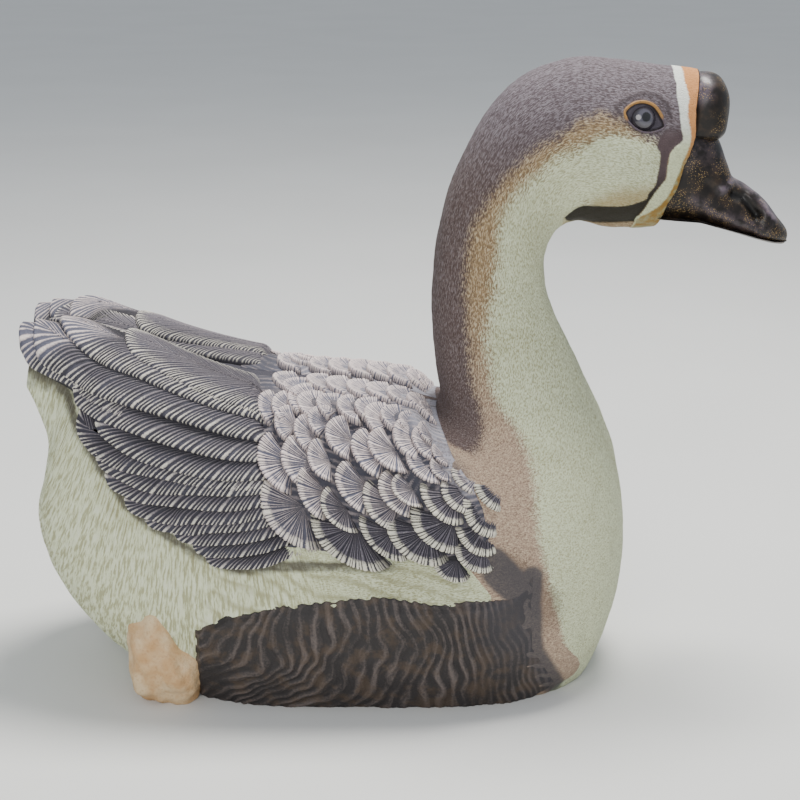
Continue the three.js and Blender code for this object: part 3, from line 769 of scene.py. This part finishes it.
def make_body():
    r = Rings()
    marks, strip, wave = body_marks(r)
    (cx, cz), (rx, rz) = SOCKET_CENTRE, SOCKET_REACH
    brow = r.on_head(lambda p: bell(near_line(p, BROW), 3.0), 0)
    socket = r.on_head(lambda p: np.hypot((p[:, 0] - cx) / rx, (p[:, 1] - cz) / rz), FAR_OFF)
    facing = np.abs(np.sin(np.radians(r.deg)))
    lift = ripple(r.base, 26, 3) * 0.35 + ripple(r.base, 9, 4) * 0.12
    lift = lift - 0.9 * past(marks["band"], -0.5, 2) + 0.7 * past(marks["blaze"], -0.6, 1.4)
    lift = lift + 1.1 * brow * facing - 5.4 * smooth(1.5 - socket) * facing
    lift = lift + strip * (0.7 * wave + 0.3 * ripple(r.base, 7, 6))
    points = off_skin(r.s, r.deg, lift)
    x, z = points[..., 0], points[..., 2]
    points[..., 0] = np.where(r.s < 3, np.minimum(x, seam_at(z) + 0.2), x)
    points[..., 2] = np.maximum(z, 0)
    clay = Clay()
    clay.patch(points, **marks)
    clay.build("body", body_finish(), "body_cream", "head", "neck", "breast", "trunk", "tail")


# ------------------------------------------------------------------ covert feathers
# Middle of the margin (station, degrees), radius of its arc, lean of its axis below the
# tailward direction, and half the arc's spread in degrees.
SHELLS = (
    (15.43, 26, 20, -12, 60), (15.13, 25, 19, -15, 62), (14.69, 17, 23, -30, 62),
    (14.51, 21, 17, -32, 85), (14.07, 21, 16, -36, 85), (13.72, 25, 16, -6, 88),
    (13.28, 22, 16, -35, 80), (13.18, 27, 19, -30, 74), (12.80, 27, 16, -32, 76),
    (12.43, 30, 12, -36, 66), (15.09, 32, 16, -20, 75), (14.74, 36, 17, -16, 66),
    (14.35, 29, 15, -35, 85), (14.12, 37, 19, -17, 81), (13.73, 44, 23, -10, 68),
    (13.40, 45, 20, 2, 84), (12.81, 40, 22, -10, 62), (12.77, 54, 19, 12, 62),
    (12.35, 56, 13, 4, 66), (12.42, 43, 17, -8, 66), (12.06, 49, 13, -4, 62),
    (12.1, 37, 13, -16, 66), (15.47, 50, 26, 8, 63), (15.06, 47, 24, -8, 55),
    (14.61, 47, 17, -4, 76), (14.25, 56, 24, -5, 64), (13.93, 63, 25, 0, 56),
    (13.58, 60, 23, -2, 62), (13.34, 60, 15, 4, 80), (12.91, 68, 27, 12, 52),
    (12.48, 67, 24, 2, 46), (15.43, 69, 33, 27, 62), (14.91, 59, 23, 4, 58),
    (14.60, 65, 19, 14, 76), (14.66, 78, 36, 44, 56), (14.12, 75, 25, 26, 60),
    (13.75, 77, 32, 22, 56), (13.32, 75, 32, 14, 50), (11.98, 62, 22, -6, 42),
    (12.39, 77, 30, 0, 48), (11.80, 73, 26, -4, 40), (12.72, 83, 27, 20, 48),
    (12.97, 86, 23, 18, 56), (13.35, 86.5, 18, 34, 52), (15.10, 8, 21, -10, 66),
    (14.84, 12, 16, -20, 80), (14.29, 7, 20, -8, 70), (13.85, 8, 21, -8, 70),
    (13.41, 9, 21, -10, 72), (12.97, 10, 22, -8, 72), (12.48, 12, 22, -4, 80),
    (11.95, 15, 22, -6, 74), (11.62, 18, 16, -8, 70), (11.42, 22, 13, -10, 66),
)
# From a covert's root to its margin: share of the radius, and how far it drops at the end.
PROFILE = (
    (0.05, 0), (0.2, 0), (0.34, 0), (0.46, 0), (0.57, 0), (0.66, 0), (0.73, 0), (0.79, 0),
    (0.84, 0), (0.885, 0), (0.92, 0), (0.95, -0.1), (0.975, -0.45), (0.99, -1.0), (1.0, -1.9),
)
UPPER_TO = 46                         # degrees where the lower coverts begin
COVERT_SEED, RIB_POINTS, COVERT_DEPTHS = 100, 5, (-2.4, -3.2)
BED_ROWS, BED_END, BED_TOP = 110, 15.9, 2.0


class Spread:
    """Turns millimetres tailward and downward from a spot of the skin into station and
    degrees."""

    def __init__(self, s, deg, samples=400):
        self.along = np.linspace(max(s - 3, 9), s + 2.6, samples)
        self.round = np.linspace(max(deg - 50, -6), min(deg + 60, 130), samples)
        here = metric(self.along, np.full(samples, deg))[0]
        turn = metric(np.full(samples, s), self.round)[1]
        self.a = running((here[1:] + here[:-1]) / 2 * np.diff(self.along))
        self.b = running((turn[1:] + turn[:-1]) / 2 * np.diff(self.round))
        self.a -= np.interp(s, self.along, self.a)
        self.b -= np.interp(deg, self.round, self.b)

    def __call__(self, a, b):
        return np.interp(a, self.a, self.along), np.interp(b, self.b, self.round)


def underside(S, D, *depths):
    """Rows that close a feather below: down from its rim, and back under its root."""
    across = S.shape[1]
    rim = [off_skin(S[-1], D[-1], np.full(across, depth)) for depth in depths]
    return np.stack(rim + [off_skin(S[0], D[0], np.full(across, depths[-1]))])


def with_underside(value, rest, shape, root_rows=0):
    """A value of a feather's top, followed by the rest that its three hidden rows have."""
    value = np.broadcast_to(value, shape)
    return np.concatenate([value[:root_rows], value, np.full((3, shape[1]), rest)])


def shell(clay, number, s, deg, radius, lean, spread, side):
    """One covert feather: a dished scallop whose ribs fan out to a raised pale margin."""
    random = np.random.default_rng(COVERT_SEED + number)
    small = before(s, 12.9, 1.0)
    # the ribs, in degrees round the scallop; its root side is left plain
    pitch = np.clip(0.05 * radius + 1.2, 1.7, 2.9)
    open_to = min(spread + 22, 150)
    ribs = max(6, round(math.radians(2 * open_to) * radius / pitch))
    theta = np.concatenate([np.linspace(-open_to, open_to, ribs * RIB_POINTS + 1),
                            np.linspace(open_to, 360 - open_to, 14)[1:-1]])
    away = np.abs((theta + 180) % 360 - 180)
    phase = (theta + open_to) / (2 * open_to) * ribs
    phase = (phase + 0.32 * np.sin(phase * 0.9 + random.uniform(0, 6))
             + 0.2 * np.sin(phase * 2.3 + random.uniform(0, 6)))
    crest = 0.5 - 0.5 * np.cos(2 * math.pi * phase)
    ribbed = before(away, open_to, 14)
    reach = 1 - 0.6 * past(away, spread, 176 - spread)
    reach = reach * (1 + 0.018 * np.sin(theta / 17 + random.uniform(0, 6)))
    reach = reach - ribbed * 0.022 * (1 - crest)
    # the scallop laid out flat, with the middle of its margin where the table says
    rho, drop = (np.array(column)[:, None] for column in zip(*PROFILE))
    turn, axis = np.radians(theta + lean)[None, :], math.radians(lean)
    a = -radius * math.cos(axis) + radius * rho * reach * np.cos(turn)
    b = -radius * math.sin(axis) + radius * rho * reach * np.sin(turn)
    S, D = Spread(s, deg)(a, b)
    D = np.maximum(D, 1.2)
    # its dish, margin and ribs
    soft = 1 - 0.3 * small
    proud = before(away, spread + (26 if deg < 20 else 16), 30)[None, :]
    dish = -5.2 * soft + 6.4 * soft * rho ** 1.25 * proud - 3.0 * rho * (1 - proud)
    dish = dish + 1.0 * rho * np.sin(turn) * proud + 0.5 * bell(rho - 0.93, 0.05) * ribbed
    tall = (0.25 + 0.75 * past(rho, 0.1, 0.6)) * ribbed
    tall = tall * np.clip(radius * 0.045, 0.55, 1.15) * (1 - 0.35 * small)
    ridge = crest[None, :] ** 0.8
    height = np.maximum(wing_height(S, D) + dish + drop + tall * (ridge - 0.45), -2.0)
    top = off_skin(S, D, height)
    shape = S.shape
    # painted shade: the hub, the plain root side under the neighbouring shells and the hidden rows
    # below are darkened where shade falls
    shaded = 0.35 * before(rho, 0.55, 0.3)
    clay.patch(
        mirrored(np.concatenate([top, underside(S, D, *COVERT_DEPTHS)]), side),
        ridge=with_underside(ridge * ribbed, 0.0, shape),
        rim=with_underside(rho, 1.0, shape),
        tone=random.uniform(0, 1),
        deep=with_underside(np.maximum(1 - proud * ribbed, shaded), 1.0, shape),
        low=past(deg, 50, 22) * (1 - 0.5 * past(s, 14.6, 0.8)),
        # pale: painted sky light on the top of the wing
        pale=0.45 * before(deg, 24, 14),
    )


def make_covert_bed(side, word):
    """The smooth bed that the coverts grow out of."""
    q = np.linspace(0, 1, BED_ROWS)[None, :]
    t = np.linspace(0, 1, BED_ROWS)[:, None]
    S = mix(through(COVERT_FRONT, q) - 0.05, BED_END, t)
    D = mix(BED_TOP, through(COVERT_LOWER, S) - 4.5, q)
    base = skin(S, D)
    softly = smooth(t * 5) * smooth(q * 9) * smooth((1 - q) * 14) * smooth((1 - t) * 12)
    streak = np.sin((D * 2.0 + 9 * np.sin(S * 2.2)) / 0.9 + 2.2 * ripple(base, 42, 8))
    streak = streak * (0.6 + 0.4 * ripple(base, 14, 9))
    sunk = mix(2.6, 5.6, past(D, 20, 8) * past(S, 12.2, 0.8))
    height = (wing_height(S, D) - sunk) * softly + 0.5 * streak * softly + 0.4
    front = before(S, 12.6, 0.7) * before(D, 76, 12)
    back = 0.7 * before(D, 20, 6) * before(S, 15.3, 0.5)
    # the bed is marked pale at its front and along its top; on the top it is painted sky light
    pale = np.maximum(front, back)
    # painted shade: the bed is darkened where it shows between the shells, less where it is marked
    # pale
    clay = Clay()
    clay.patch(mirrored(slab(S, D, np.maximum(height, 0.3)), side), ring=False, ends=False,
               ridge=padded(0.5 + 0.4 * streak, S.shape), rim=0.0, tone=0.5,
               deep=padded(0.45 * (1 - pale), S.shape), low=padded(0.5 * (1 - pale), S.shape),
               pale=padded(pale, S.shape))
    clay.build(f"covert_bed_{word}", COVERT_FINISH, "covert_slate", f"wing_{word}_coverts")


def make_coverts(side, word):
    rows = list(enumerate(SHELLS))
    for label, group in (("upper", [row for row in rows if row[1][1] < UPPER_TO]),
                         ("lower", [row for row in rows if row[1][1] >= UPPER_TO])):
        clay = Clay(len(group))
        for number, row in group:
            shell(clay, number, *row, side)
        clay.build(f"coverts_{label}_{word}", COVERT_FINISH, "covert_slate",
                   f"wing_{word}_coverts")


# ------------------------------------------------------------------ quill feathers
# Lower edge as (station, degrees) from root to tip; width, lift, sink of the upper edge,
# pitch of the barbs, and whether the upper edge has barbs too.
QUILLS = (
    (((15.0, 17), (17.0, 14), (18.6, 14), (19.8, 16), (20.7, 20)), 22, -1.0, -3.0, 3.0, True),
    (((15.2, 34), (16.2, 32), (17.3, 30), (18.2, 29.5), (18.78, 29)), 44, 3.2, -1.5, 3.0, True),
    (((15.4, 35), (17.5, 35), (18.9, 40), (19.7, 43), (20.4, 44)), 44, 2.0, -2.0, 3.4, True),
    (((15.0, 43), (16.6, 43), (17.8, 47), (19.5, 58), (20.9, 71)), 36, 1.2, -4.0, 4.0, True),
    (((17.3, 50), (19.4, 60), (20.3, 70), (20.9, 78), (21.3, 83)), 36, -0.6, -5.0, 4.0, True),
    (((15.0, 49), (16.7, 52), (17.7, 55), (18.75, 61), (19.6, 66)), 26, 0.6, -5.0, 4.2, False),
    (((15.0, 54), (16.7, 59.5), (17.5, 62), (18.0, 62.5), (18.5, 63)), 24, 0.6, -5.0, 4.2, False),
    (((15.0, 57), (16.8, 63), (17.7, 69), (18.3, 71.5), (19.0, 72)), 24, 0.0, -5.0, 4.2, False),
    (((15.0, 58), (16.25, 63), (17.05, 69.5), (17.7, 72), (18.2, 74)), 21, 0.4, -4.6, 4.2, False),
    (((15.0, 61), (16.5, 69), (17.2, 74.5), (17.55, 76), (17.9, 77.5)), 20, 0.2, -4.4, 4.2, False),
    (((15.0, 64), (16.3, 72), (16.7, 76), (17.1, 78.5), (17.45, 80)), 19, 0.2, -4.2, 4.2, False),
    (((15.0, 67), (16.1, 73), (16.5, 77), (16.8, 79.3), (17.1, 81)), 18, 0.1, -4.0, 4.2, False),
    (((15.0, 70), (15.85, 75), (16.15, 77), (16.4, 79), (16.7, 80.5)), 17, 0.1, -3.8, 4.0, False),
    (((15.0, 74), (15.75, 78), (16.0, 79.5), (16.25, 81), (16.45, 82)), 16, 0.0, -3.6, 3.8, False),
    (((14.9, 77), (15.6, 81), (15.9, 82.2), (16.1, 83), (16.3, 83.7)), 15, 0.0, -3.4, 3.6, False),
)
ROOT = 14.8                           # the feathers start under the coverts
ON_TOP_FROM = 16                      # one that starts past this lies on the others
QUILL_SEED, QUILL_DEPTHS = 500, (-0.6, -1.6)
EDGE_POINTS, TIP_POINTS, LINE_POINTS = 300, 100, 280
BARB_SHARES = np.array([0, .12, .24, .36, .47, .57, .66, .74, .81, .87, .91, .94, .97, .99, 1])


def quill(clay, number, line, width, lift, sink, pitch, both, side):
    """One long feather: barbs sweep back from its shaft and end in a scalloped rim."""
    random = np.random.default_rng(QUILL_SEED + number)
    (s0, d0), (s1, d1) = line[:2]
    on_top = s0 >= ON_TOP_FROM
    if not on_top:
        line = ((ROOT, d0 - (d1 - d0) * (s0 - ROOT) / (s1 - s0)),) + line
    low = catmull(line, np.linspace(0, 1, LINE_POINTS) * (len(line) - 1))
    scale = np.stack(metric(low[:, 0], low[:, 1]), -1)
    length = running(np.linalg.norm(np.diff(low, axis=0) * scale[1:], axis=1))
    total = length[-1]
    way = np.gradient(low, axis=0) * scale
    way /= np.linalg.norm(way, axis=1, keepdims=True)
    tip_from = 1 - 0.62 * width / total

    def half(share):
        """Half the feather's width, round at the tip."""
        t = np.clip((share - tip_from) / (1 - tip_from), 0, 1)
        return width / 2 * np.sqrt(np.clip(1 - t ** 2.3, 0, 1))

    def place(share, y):
        """Station and degrees, with y in millimetres below the middle line."""
        at = np.clip(share, 0, 1) * total
        columns = np.concatenate([low, scale, way], axis=1).T
        s, d, m, r, tx, ty = (np.interp(at, length, column) for column in columns)
        shift = y - width / 2
        return s - shift * ty / m, d + shift * tx / r

    # the outline: lower edge to the tip and back along the upper edge
    tip = 1 - (1 - tip_from) * np.cos(np.linspace(0, math.pi / 2, TIP_POINTS))[1:]
    share = np.concatenate([np.linspace(0, tip_from, EDGE_POINTS), tip])
    lower = np.stack([share * total, half(share)], -1)
    outline = np.concatenate([lower, lower[::-1][1:] * (1, -1)])
    arc = running(steps(outline))
    ribbed_to = arc[-1] if both else arc[len(lower) - 1] + width * 0.75
    # the barbs, from the shaft to the outline
    ribs = round(ribbed_to / pitch)
    marks = np.linspace(0, ribbed_to, ribs * RIB_POINTS + 1)
    if not both:
        marks = np.concatenate([marks, np.linspace(ribbed_to, arc[-1], 24)[1:]])
    barbed = marks <= ribbed_to
    phase = np.minimum(marks / ribbed_to, 1) * ribs
    phase = phase + 0.28 * np.sin(phase * 0.8 + random.uniform(0, 6)) + 0.15 * np.sin(phase * 2.1)
    crest = (0.5 - 0.5 * np.cos(2 * math.pi * phase)) * barbed
    rim_x, rim_y = (np.interp(marks, arc, outline[:, k]) for k in (0, 1))
    at_tip = past(rim_x / total, tip_from, 1 - tip_from)
    shaft_y = -0.08 * width * (1 - at_tip) if both else -0.2 * width * (1 - at_tip ** 2)
    sweep = mix(1.9, 0.8, at_tip) * np.abs(rim_y - shaft_y) + 0.45 * width * at_tip
    start = np.maximum(rim_x - sweep, 0)
    v = BARB_SHARES[:, None]
    x = start + (rim_x - start) * v
    y = (shaft_y + (rim_y - shaft_y) * v ** mix(1.9, 1.0, at_tip)
         - 0.5 * np.sign(rim_y - shaft_y) * (1 - v) ** 8)
    S, D = place(x / total, y)
    D = np.maximum(D, 1.5)
    # its height: tilted and crowned across, sunk at the root, with ribs and a dropped rim
    e = np.clip(y / (width / 2), -1, 1)
    profile = mix(sink - 0.6, 2.3, (e + 1) / 2) + 1.2 * (1 - e * e) - 10 * before(S, 15.58, 0.4)
    if on_top:
        profile = profile - 9 * smooth(1 - x / (0.2 * total))
    drop = np.interp(v, (0.94, .97, .99, 1.0), (0, -0.35, -0.9, -1.8))
    tall = mix(0.55, 1.15, smooth(v)) * barbed
    ridge = crest[None, :] * np.ones_like(v)
    height = wing_height(S, D) + lift + profile + drop + 0.5 * bell(v, 0.08) + tall * (ridge - 0.4)
    height = np.maximum(height, 0.3 - 0.85 * before(S, 15.5, 0.3))
    shape = S.shape
    shaft = off_skin(S[0], D[0], np.maximum(height[0] - 3, 0.2))[None]
    # painted shadow: each quill darkens under the edge of the one above it, less on the top two and
    # at the tip; its hidden rows below are dark
    shadow = smooth((0.66 - e) * 0.95) * (0.3 if number < 2 else 0.85) * (1 - 0.8 * at_tip)
    tinge = 0.85 - 0.65 * smooth(at_tip * 1.6) * (1 < number < 5)
    points = np.concatenate([shaft, off_skin(S, D, height), underside(S, D, *QUILL_DEPTHS)])
    clay.patch(
        mirrored(points, side),
        ridge=with_underside(ridge, 0.0, shape, 1),
        rim=with_underside(mix(v, 1, at_tip * 0.3), 1.0, shape, 1),
        tone=random.uniform(0.2, 0.8),
        deep=with_underside(shadow, 1.0, shape, 1),
        low=with_underside(tinge, 1.0, shape, 1),
        # pale: painted sky light on the top quills
        pale=np.clip(0.4 - number * 0.15, 0, 1),
    )


def make_quills(side, word):
    clay = Clay(len(QUILLS))
    for number, row in enumerate(QUILLS):
        quill(clay, number, *row, side)
    clay.build(f"quills_{word}", QUILL_FINISH, "quill_slate", f"wing_{word}_quills")


# ------------------------------------------------------------------ flank and foot
# Top and front edges of the flank's slab.
FLANK_TOP = (
    (12.35, 99), (12.8, 95.5), (13.3, 92.5), (13.9, 89.5), (15, 89.5), (15.6, 91), (16.1, 95),
    (16.45, 104),
)
FLANK_FRONT = ((0, 12.4), (.12, 12.7), (.45, 13.1), (1, 13.1))
FLANK_REAR, FLANK_BOTTOM, FLANK_PROUD = 16.45, 138, 5
FLANK_ROWS, FLANK_COLUMNS = 330, 120
FOOT_CENTRE, FOOT_RADII = (-158, 74, 40), (31, 33, 52)


def make_flank(side, word):
    t = np.linspace(0, 1, FLANK_ROWS)[:, None]
    q = np.linspace(0, 1, FLANK_COLUMNS)[None, :]
    S = mix(flank_line(q), FLANK_REAR, t)
    D = mix(through(FLANK_TOP, S), FLANK_BOTTOM, q)
    base = skin(S, D)
    # wavy ridges that lean tailward, with finer ones between them
    a, b = (S - 12.4) * 78, (D - 90) * 2.1
    flow = ((a - b * (0.72 + 0.2 * np.sin(S * 2.1))) / 9.6
            + ripple(base, 70, 21) * 0.75 + ripple(base, 24, 24) * 0.2)
    ridge = (0.5 + 0.5 * np.sin(2 * math.pi * flow)) * (0.75 + 0.25 * ripple(base, 40, 25))
    fine = 0.5 + 0.5 * np.sin(2 * math.pi * (flow * 3.3 + ripple(base, 34, 22) * 0.5))
    ragged = 0.35 * (0.5 - ridge) + 0.6 * ripple(base, 46, 26)
    D = D + (1 - q) ** 3 * ragged * smooth(t * 8)
    edge = smooth(t * 5) * smooth(q * 22 + 0.02) * smooth((1 - t) * 60) * smooth((1 - q) * 30)
    relief = 1.7 * np.abs(ridge) ** 1.3 + 0.45 * fine + 0.5 * ripple(base, 20, 23)
    height = (FLANK_PROUD - 1.0 + relief * (smooth(t * 4) * smooth(q * 9))) * edge
    block = slab(S, D, np.maximum(height, 0.2))
    block[..., 2] = np.maximum(block[..., 2], 0)
    corner = np.maximum(smooth((1 - q) * 2.2 - 0.6) * before(S, 13.8, 0.9), before(t, 0.09, 0.09))
    clay = Clay()
    clay.patch(mirrored(block, side), ring=False, ends=False,
               ridge=padded(ridge * 0.8 + fine * 0.2, S.shape), corner=padded(corner, S.shape))
    clay.build(f"flank_wash_{word}", FLANK_FINISH, "flank_umber", f"flank_{word}")


def make_foot(side, word):
    shape = signed_power(ball(90, 120, (0, 1, 2), pole=1.54), 0.9)
    points = np.array(FOOT_CENTRE) + shape * FOOT_RADII
    points[..., 2] *= 1 - 0.34 * past(points[..., 0], -172, 42)
    points += shape * (2.2 * ripple(points, 34, 31) + 0.8 * ripple(points, 12, 32))[..., None]
    points[..., 2] = np.maximum(points[..., 2], 0)
    clay = Clay()
    clay.patch(mirrored(points, side))
    clay.build(f"foot_wash_{word}", FOOT_FINISH, "foot_ochre", f"foot_{word}")


# ------------------------------------------------------------------ bill and knob
MOUTH = (
    (200, 375), (232, 371), (252, 369.5), (268, 365.5), (284, 361), (299, 356.5), (311, 353.5),
    (330, 351),
)
# Rings of the bill: bottom x z, top x z, half width.
BILL = np.array([
    (212, 367, 240, 452, 27),
    (232, 366, 263, 434, 27),
    (252, 365, 273, 413.5, 27),
    (268, 361, 279, 400, 26.5),
    (284, 356.5, 291, 393.5, 25.5),
    (299, 352, 303, 384, 24),
    (311, 349, 314, 371, 20),
    (320, 348, 322, 361, 12),
    (323, 350, 324, 356, 4),
])
# Its relief: lines as x z points, each with its reach and its height.
RELIEF = (
    (((277, 390), (284, 387), (295, 375)), 4.6, -6.4),                           # nostril
    (((267, 394), (278, 401), (289, 397), (300, 385), (309, 371)), 3.2, 1.6),    # its rim
    (((246, 386), (262, 377), (280, 370), (300, 362)), 5.0, 2.0),                # cheek
    (((256, 398), (268, 388), (282, 377), (298, 367)), 4.0, -1.6),               # dip
)
MOUTH_GAP, LOWER_WIDTH = 0.7, 0.92
KNOB_CENTRE, KNOB_RADII = (254, 0, 453), (19, 25, 26)


def bill_grid(rows, columns):
    """The whole bill's rings, and how far up and out each point of a ring lies."""
    at = np.linspace(0.0, len(BILL) - 1, rows)[:, None]
    turn = np.linspace(0, 2 * math.pi, columns, endpoint=False)[None, :]
    ring = catmull(BILL, at * np.ones((1, columns)))
    bottom, top, half = ring[..., 0:2], ring[..., 2:4], ring[..., 4]
    square = np.interp(at, (0, 4, 8), (2.0, 2.3, 2.2))
    up, out = (signed_power(wave(turn), 2 / square) for wave in (np.cos, np.sin))
    side = (bottom + top) / 2 + (top - bottom) / 2 * up[..., None]
    return np.stack([side[..., 0], half * out, side[..., 1]], -1), up, out


def make_bill_top():
    points, up, out = bill_grid(170, 180)
    x, y, z = np.moveaxis(points, -1, 0)
    side_view = np.stack([x, z], -1).reshape(-1, 2)
    shapes = [bell(near_line(side_view, line).reshape(x.shape), reach)
              for line, reach, _ in RELIEF]
    hollow, rim, cheek, _ = shapes
    side = np.abs(out) ** 0.6
    swell = sum(height * shape for shape, (_, _, height) in zip(shapes, RELIEF))
    y += np.sign(y) * swell * side
    z -= 1.6 * hollow * side * up
    uneven = ripple(points, 18, 41) * 0.35
    y += uneven * out
    z += uneven * up
    bloom = past(z, 400, 30) * 0.3 + cheek * 0.4 + rim * 0.95
    z[:] = np.maximum(z, through(MOUTH, x))
    clay = Clay()
    clay.patch(points, bloom=bloom, hollow=hollow * side)
    clay.build("bill_top", BILL_FINISH, "bill_glaze", "bill_upper")


def make_bill_under():
    points = bill_grid(110, 120)[0]
    points[..., 1] *= LOWER_WIDTH
    points[..., 2] = np.minimum(points[..., 2], through(MOUTH, points[..., 0]) - MOUTH_GAP)
    clay = Clay()
    clay.patch(points, bloom=0.2)
    clay.build("bill_under", BILL_FINISH, "bill_glaze", "bill_lower")


def make_knob():
    shape = ball(100, 140, (2, 0, 1))
    blunt = mix(0.88, 0.66, smooth(-shape[..., 2:] * 1.6))
    points = np.array(KNOB_CENTRE) + signed_power(shape, blunt) * KNOB_RADII
    points += shape * (ripple(points, 24, 42) * 0.5)[..., None]
    clay = Clay()
    clay.patch(points, bloom=before(points[..., 0], 262, 16) * past(points[..., 2], 452, 16))
    clay.build("knob", BILL_FINISH, "bill_glaze", "bill_knob")


# ------------------------------------------------------------------ eyes
EYE_CENTRE, EYE_RADIUS, PUPIL_CENTRE = (202, 27.5, 447.5), 12, (205.5, 450.5)
LID_POINTS, LID_THIN, LID_THICK = 160, 0.7, 1.15


def make_eye(side, word):
    points = np.array(EYE_CENTRE) + ball(60, 72, (0, 2, 1)) * EYE_RADIUS
    x, y, z = np.moveaxis(points, -1, 0)
    far = np.hypot(x - PUPIL_CENTRE[0], z - PUPIL_CENTRE[1]) + 20 * (y < EYE_CENTRE[1])
    clay = Clay()
    clay.patch(mirrored(points, side), from_pupil=far)
    clay.build(f"eyeball_{word}", EYE_FINISH, "eye_glaze", f"eye_{word}")


def make_lid(side, word):
    """An almond ring that lies on the skin round the eyeball, thicker and golden above."""
    line = np.array(LID, float)
    closed = np.concatenate([line[-1:], line, line[:2]])
    path = catmull(closed, np.linspace(1, len(line) + 1, LID_POINTS, endpoint=False))
    cheek = skin(np.linspace(1.2, 3.4, 200)[:, None], np.linspace(20, 110, 200)[None, :])
    spots = cheek.reshape(-1, 3)
    y = np.array([spots[np.argmin((spots[:, 0] - x) ** 2 + (spots[:, 2] - z) ** 2), 1]
                  for x, z in path])
    mean = np.convolve(np.concatenate([y[-10:], y, y[:10]]), np.ones(21) / 21, "same")[10:-10]
    y = y * 0.3 + mean * 0.7
    top = past(path[:, 1], 447, 4)
    radius = mix(LID_THIN, LID_THICK, top)
    tangent = np.roll(path, -1, axis=0) - np.roll(path, 1, axis=0)
    tangent /= np.linalg.norm(tangent, axis=1, keepdims=True)
    angle = np.linspace(0, 2 * math.pi, 20, endpoint=False)[:, None]
    out = radius * np.cos(angle)
    ring = np.stack([path[:, 0] + out * tangent[:, 1], y + 0.2 + radius * 0.95 * np.sin(angle),
                     path[:, 1] - out * tangent[:, 0]], -1)
    ring = np.concatenate([ring, ring[:1]])
    clay = Clay()
    clay.patch(mirrored(ring, side), ends=False, gold=top)
    clay.build(f"lid_{word}", LID_FINISH, "eye_glaze")


# ------------------------------------------------------------------ making it all
COVERT_FINISH = feather_finish("covert_clay", 0.76, 0.86, 0.1)
QUILL_FINISH = feather_finish("quill_clay", 0.68, 1.0, 0.5)
FLANK_FINISH, FOOT_FINISH, BILL_FINISH = flank_finish(), foot_finish(), bill_finish()
EYE_FINISH, LID_FINISH = eye_finish(), lid_finish()

make_body()
make_bill_top()
make_bill_under()
make_knob()
for side, word in ((-1, "right"), (1, "left")):
    for make in (make_coverts, make_covert_bed, make_quills, make_flank, make_foot, make_eye,
                 make_lid):
        make(side, word)

# ------------------------------------------------------------------ stage, light and camera
FLOOR_REACH = 16
FLOOR_DARK, FLOOR_PALE, FLOOR_ROUGHNESS = (0.62, 0.62, 0.6, 1), (0.68, 0.68, 0.66, 1), 0.85
SKY_COLOR, SKY_STRENGTH = (0.78, 0.84, 0.92, 1), 0.72
AIM = (0, 0, 0.2)
# name, place, size, power and colour
LIGHTS = (("key", (0.35, 0.35, 2.2), 0.8, 80, (1.0, 0.98, 0.94)),
          ("fill", (-0.4, -2.2, 1.2), 1.6, 34, (1.0, 0.98, 0.95)))
CAMERA_PLACE, CAMERA_DOWN, LENS, FILM = (0.025, -1.2174, 0.6155), 18, 72, 36


def area_light(name, place, size, power, color):
    lamp = bpy.data.lights.new(name, "AREA")
    lamp.shape, lamp.size, lamp.energy, lamp.color = "DISK", size, power, color
    holder = bpy.data.objects.new(name, lamp)
    holder.location = place
    holder.rotation_euler = (Vector(AIM) - Vector(place)).to_track_quat("-Z", "Y").to_euler()
    bpy.context.scene.collection.objects.link(holder)


def make_stage():
    mesh = bpy.data.meshes.new("studio_floor")
    reach = FLOOR_REACH
    corners = [(-reach, -reach, 0), (reach, -reach, 0), (reach, reach, 0), (-reach, reach, 0)]
    mesh.from_pydata(corners, [], [(0, 1, 2, 3)])
    floor = bpy.data.objects.new("studio_floor", mesh)
    bpy.context.scene.collection.objects.link(floor)
    f = Finish("studio_floor")
    mesh.materials.append(f.finish(f.blend(FLOOR_DARK, FLOOR_PALE, f.noise(3.0)), FLOOR_ROUGHNESS))
    world = bpy.data.worlds.new("studio")
    world.use_nodes = True
    sky = world.node_tree.nodes["Background"]
    sky.inputs[0].default_value, sky.inputs[1].default_value = SKY_COLOR, SKY_STRENGTH
    bpy.context.scene.world = world


def make_camera():
    lens = bpy.data.cameras.new("camera")
    lens.lens, lens.sensor_width = LENS, FILM
    camera = bpy.data.objects.new("camera", lens)
    camera.location = CAMERA_PLACE
    camera.rotation_euler = (math.radians(90 - CAMERA_DOWN), 0, 0)
    bpy.context.scene.collection.objects.link(camera)
    bpy.context.scene.camera = camera


make_stage()
for light in LIGHTS:
    area_light(*light)
make_camera()
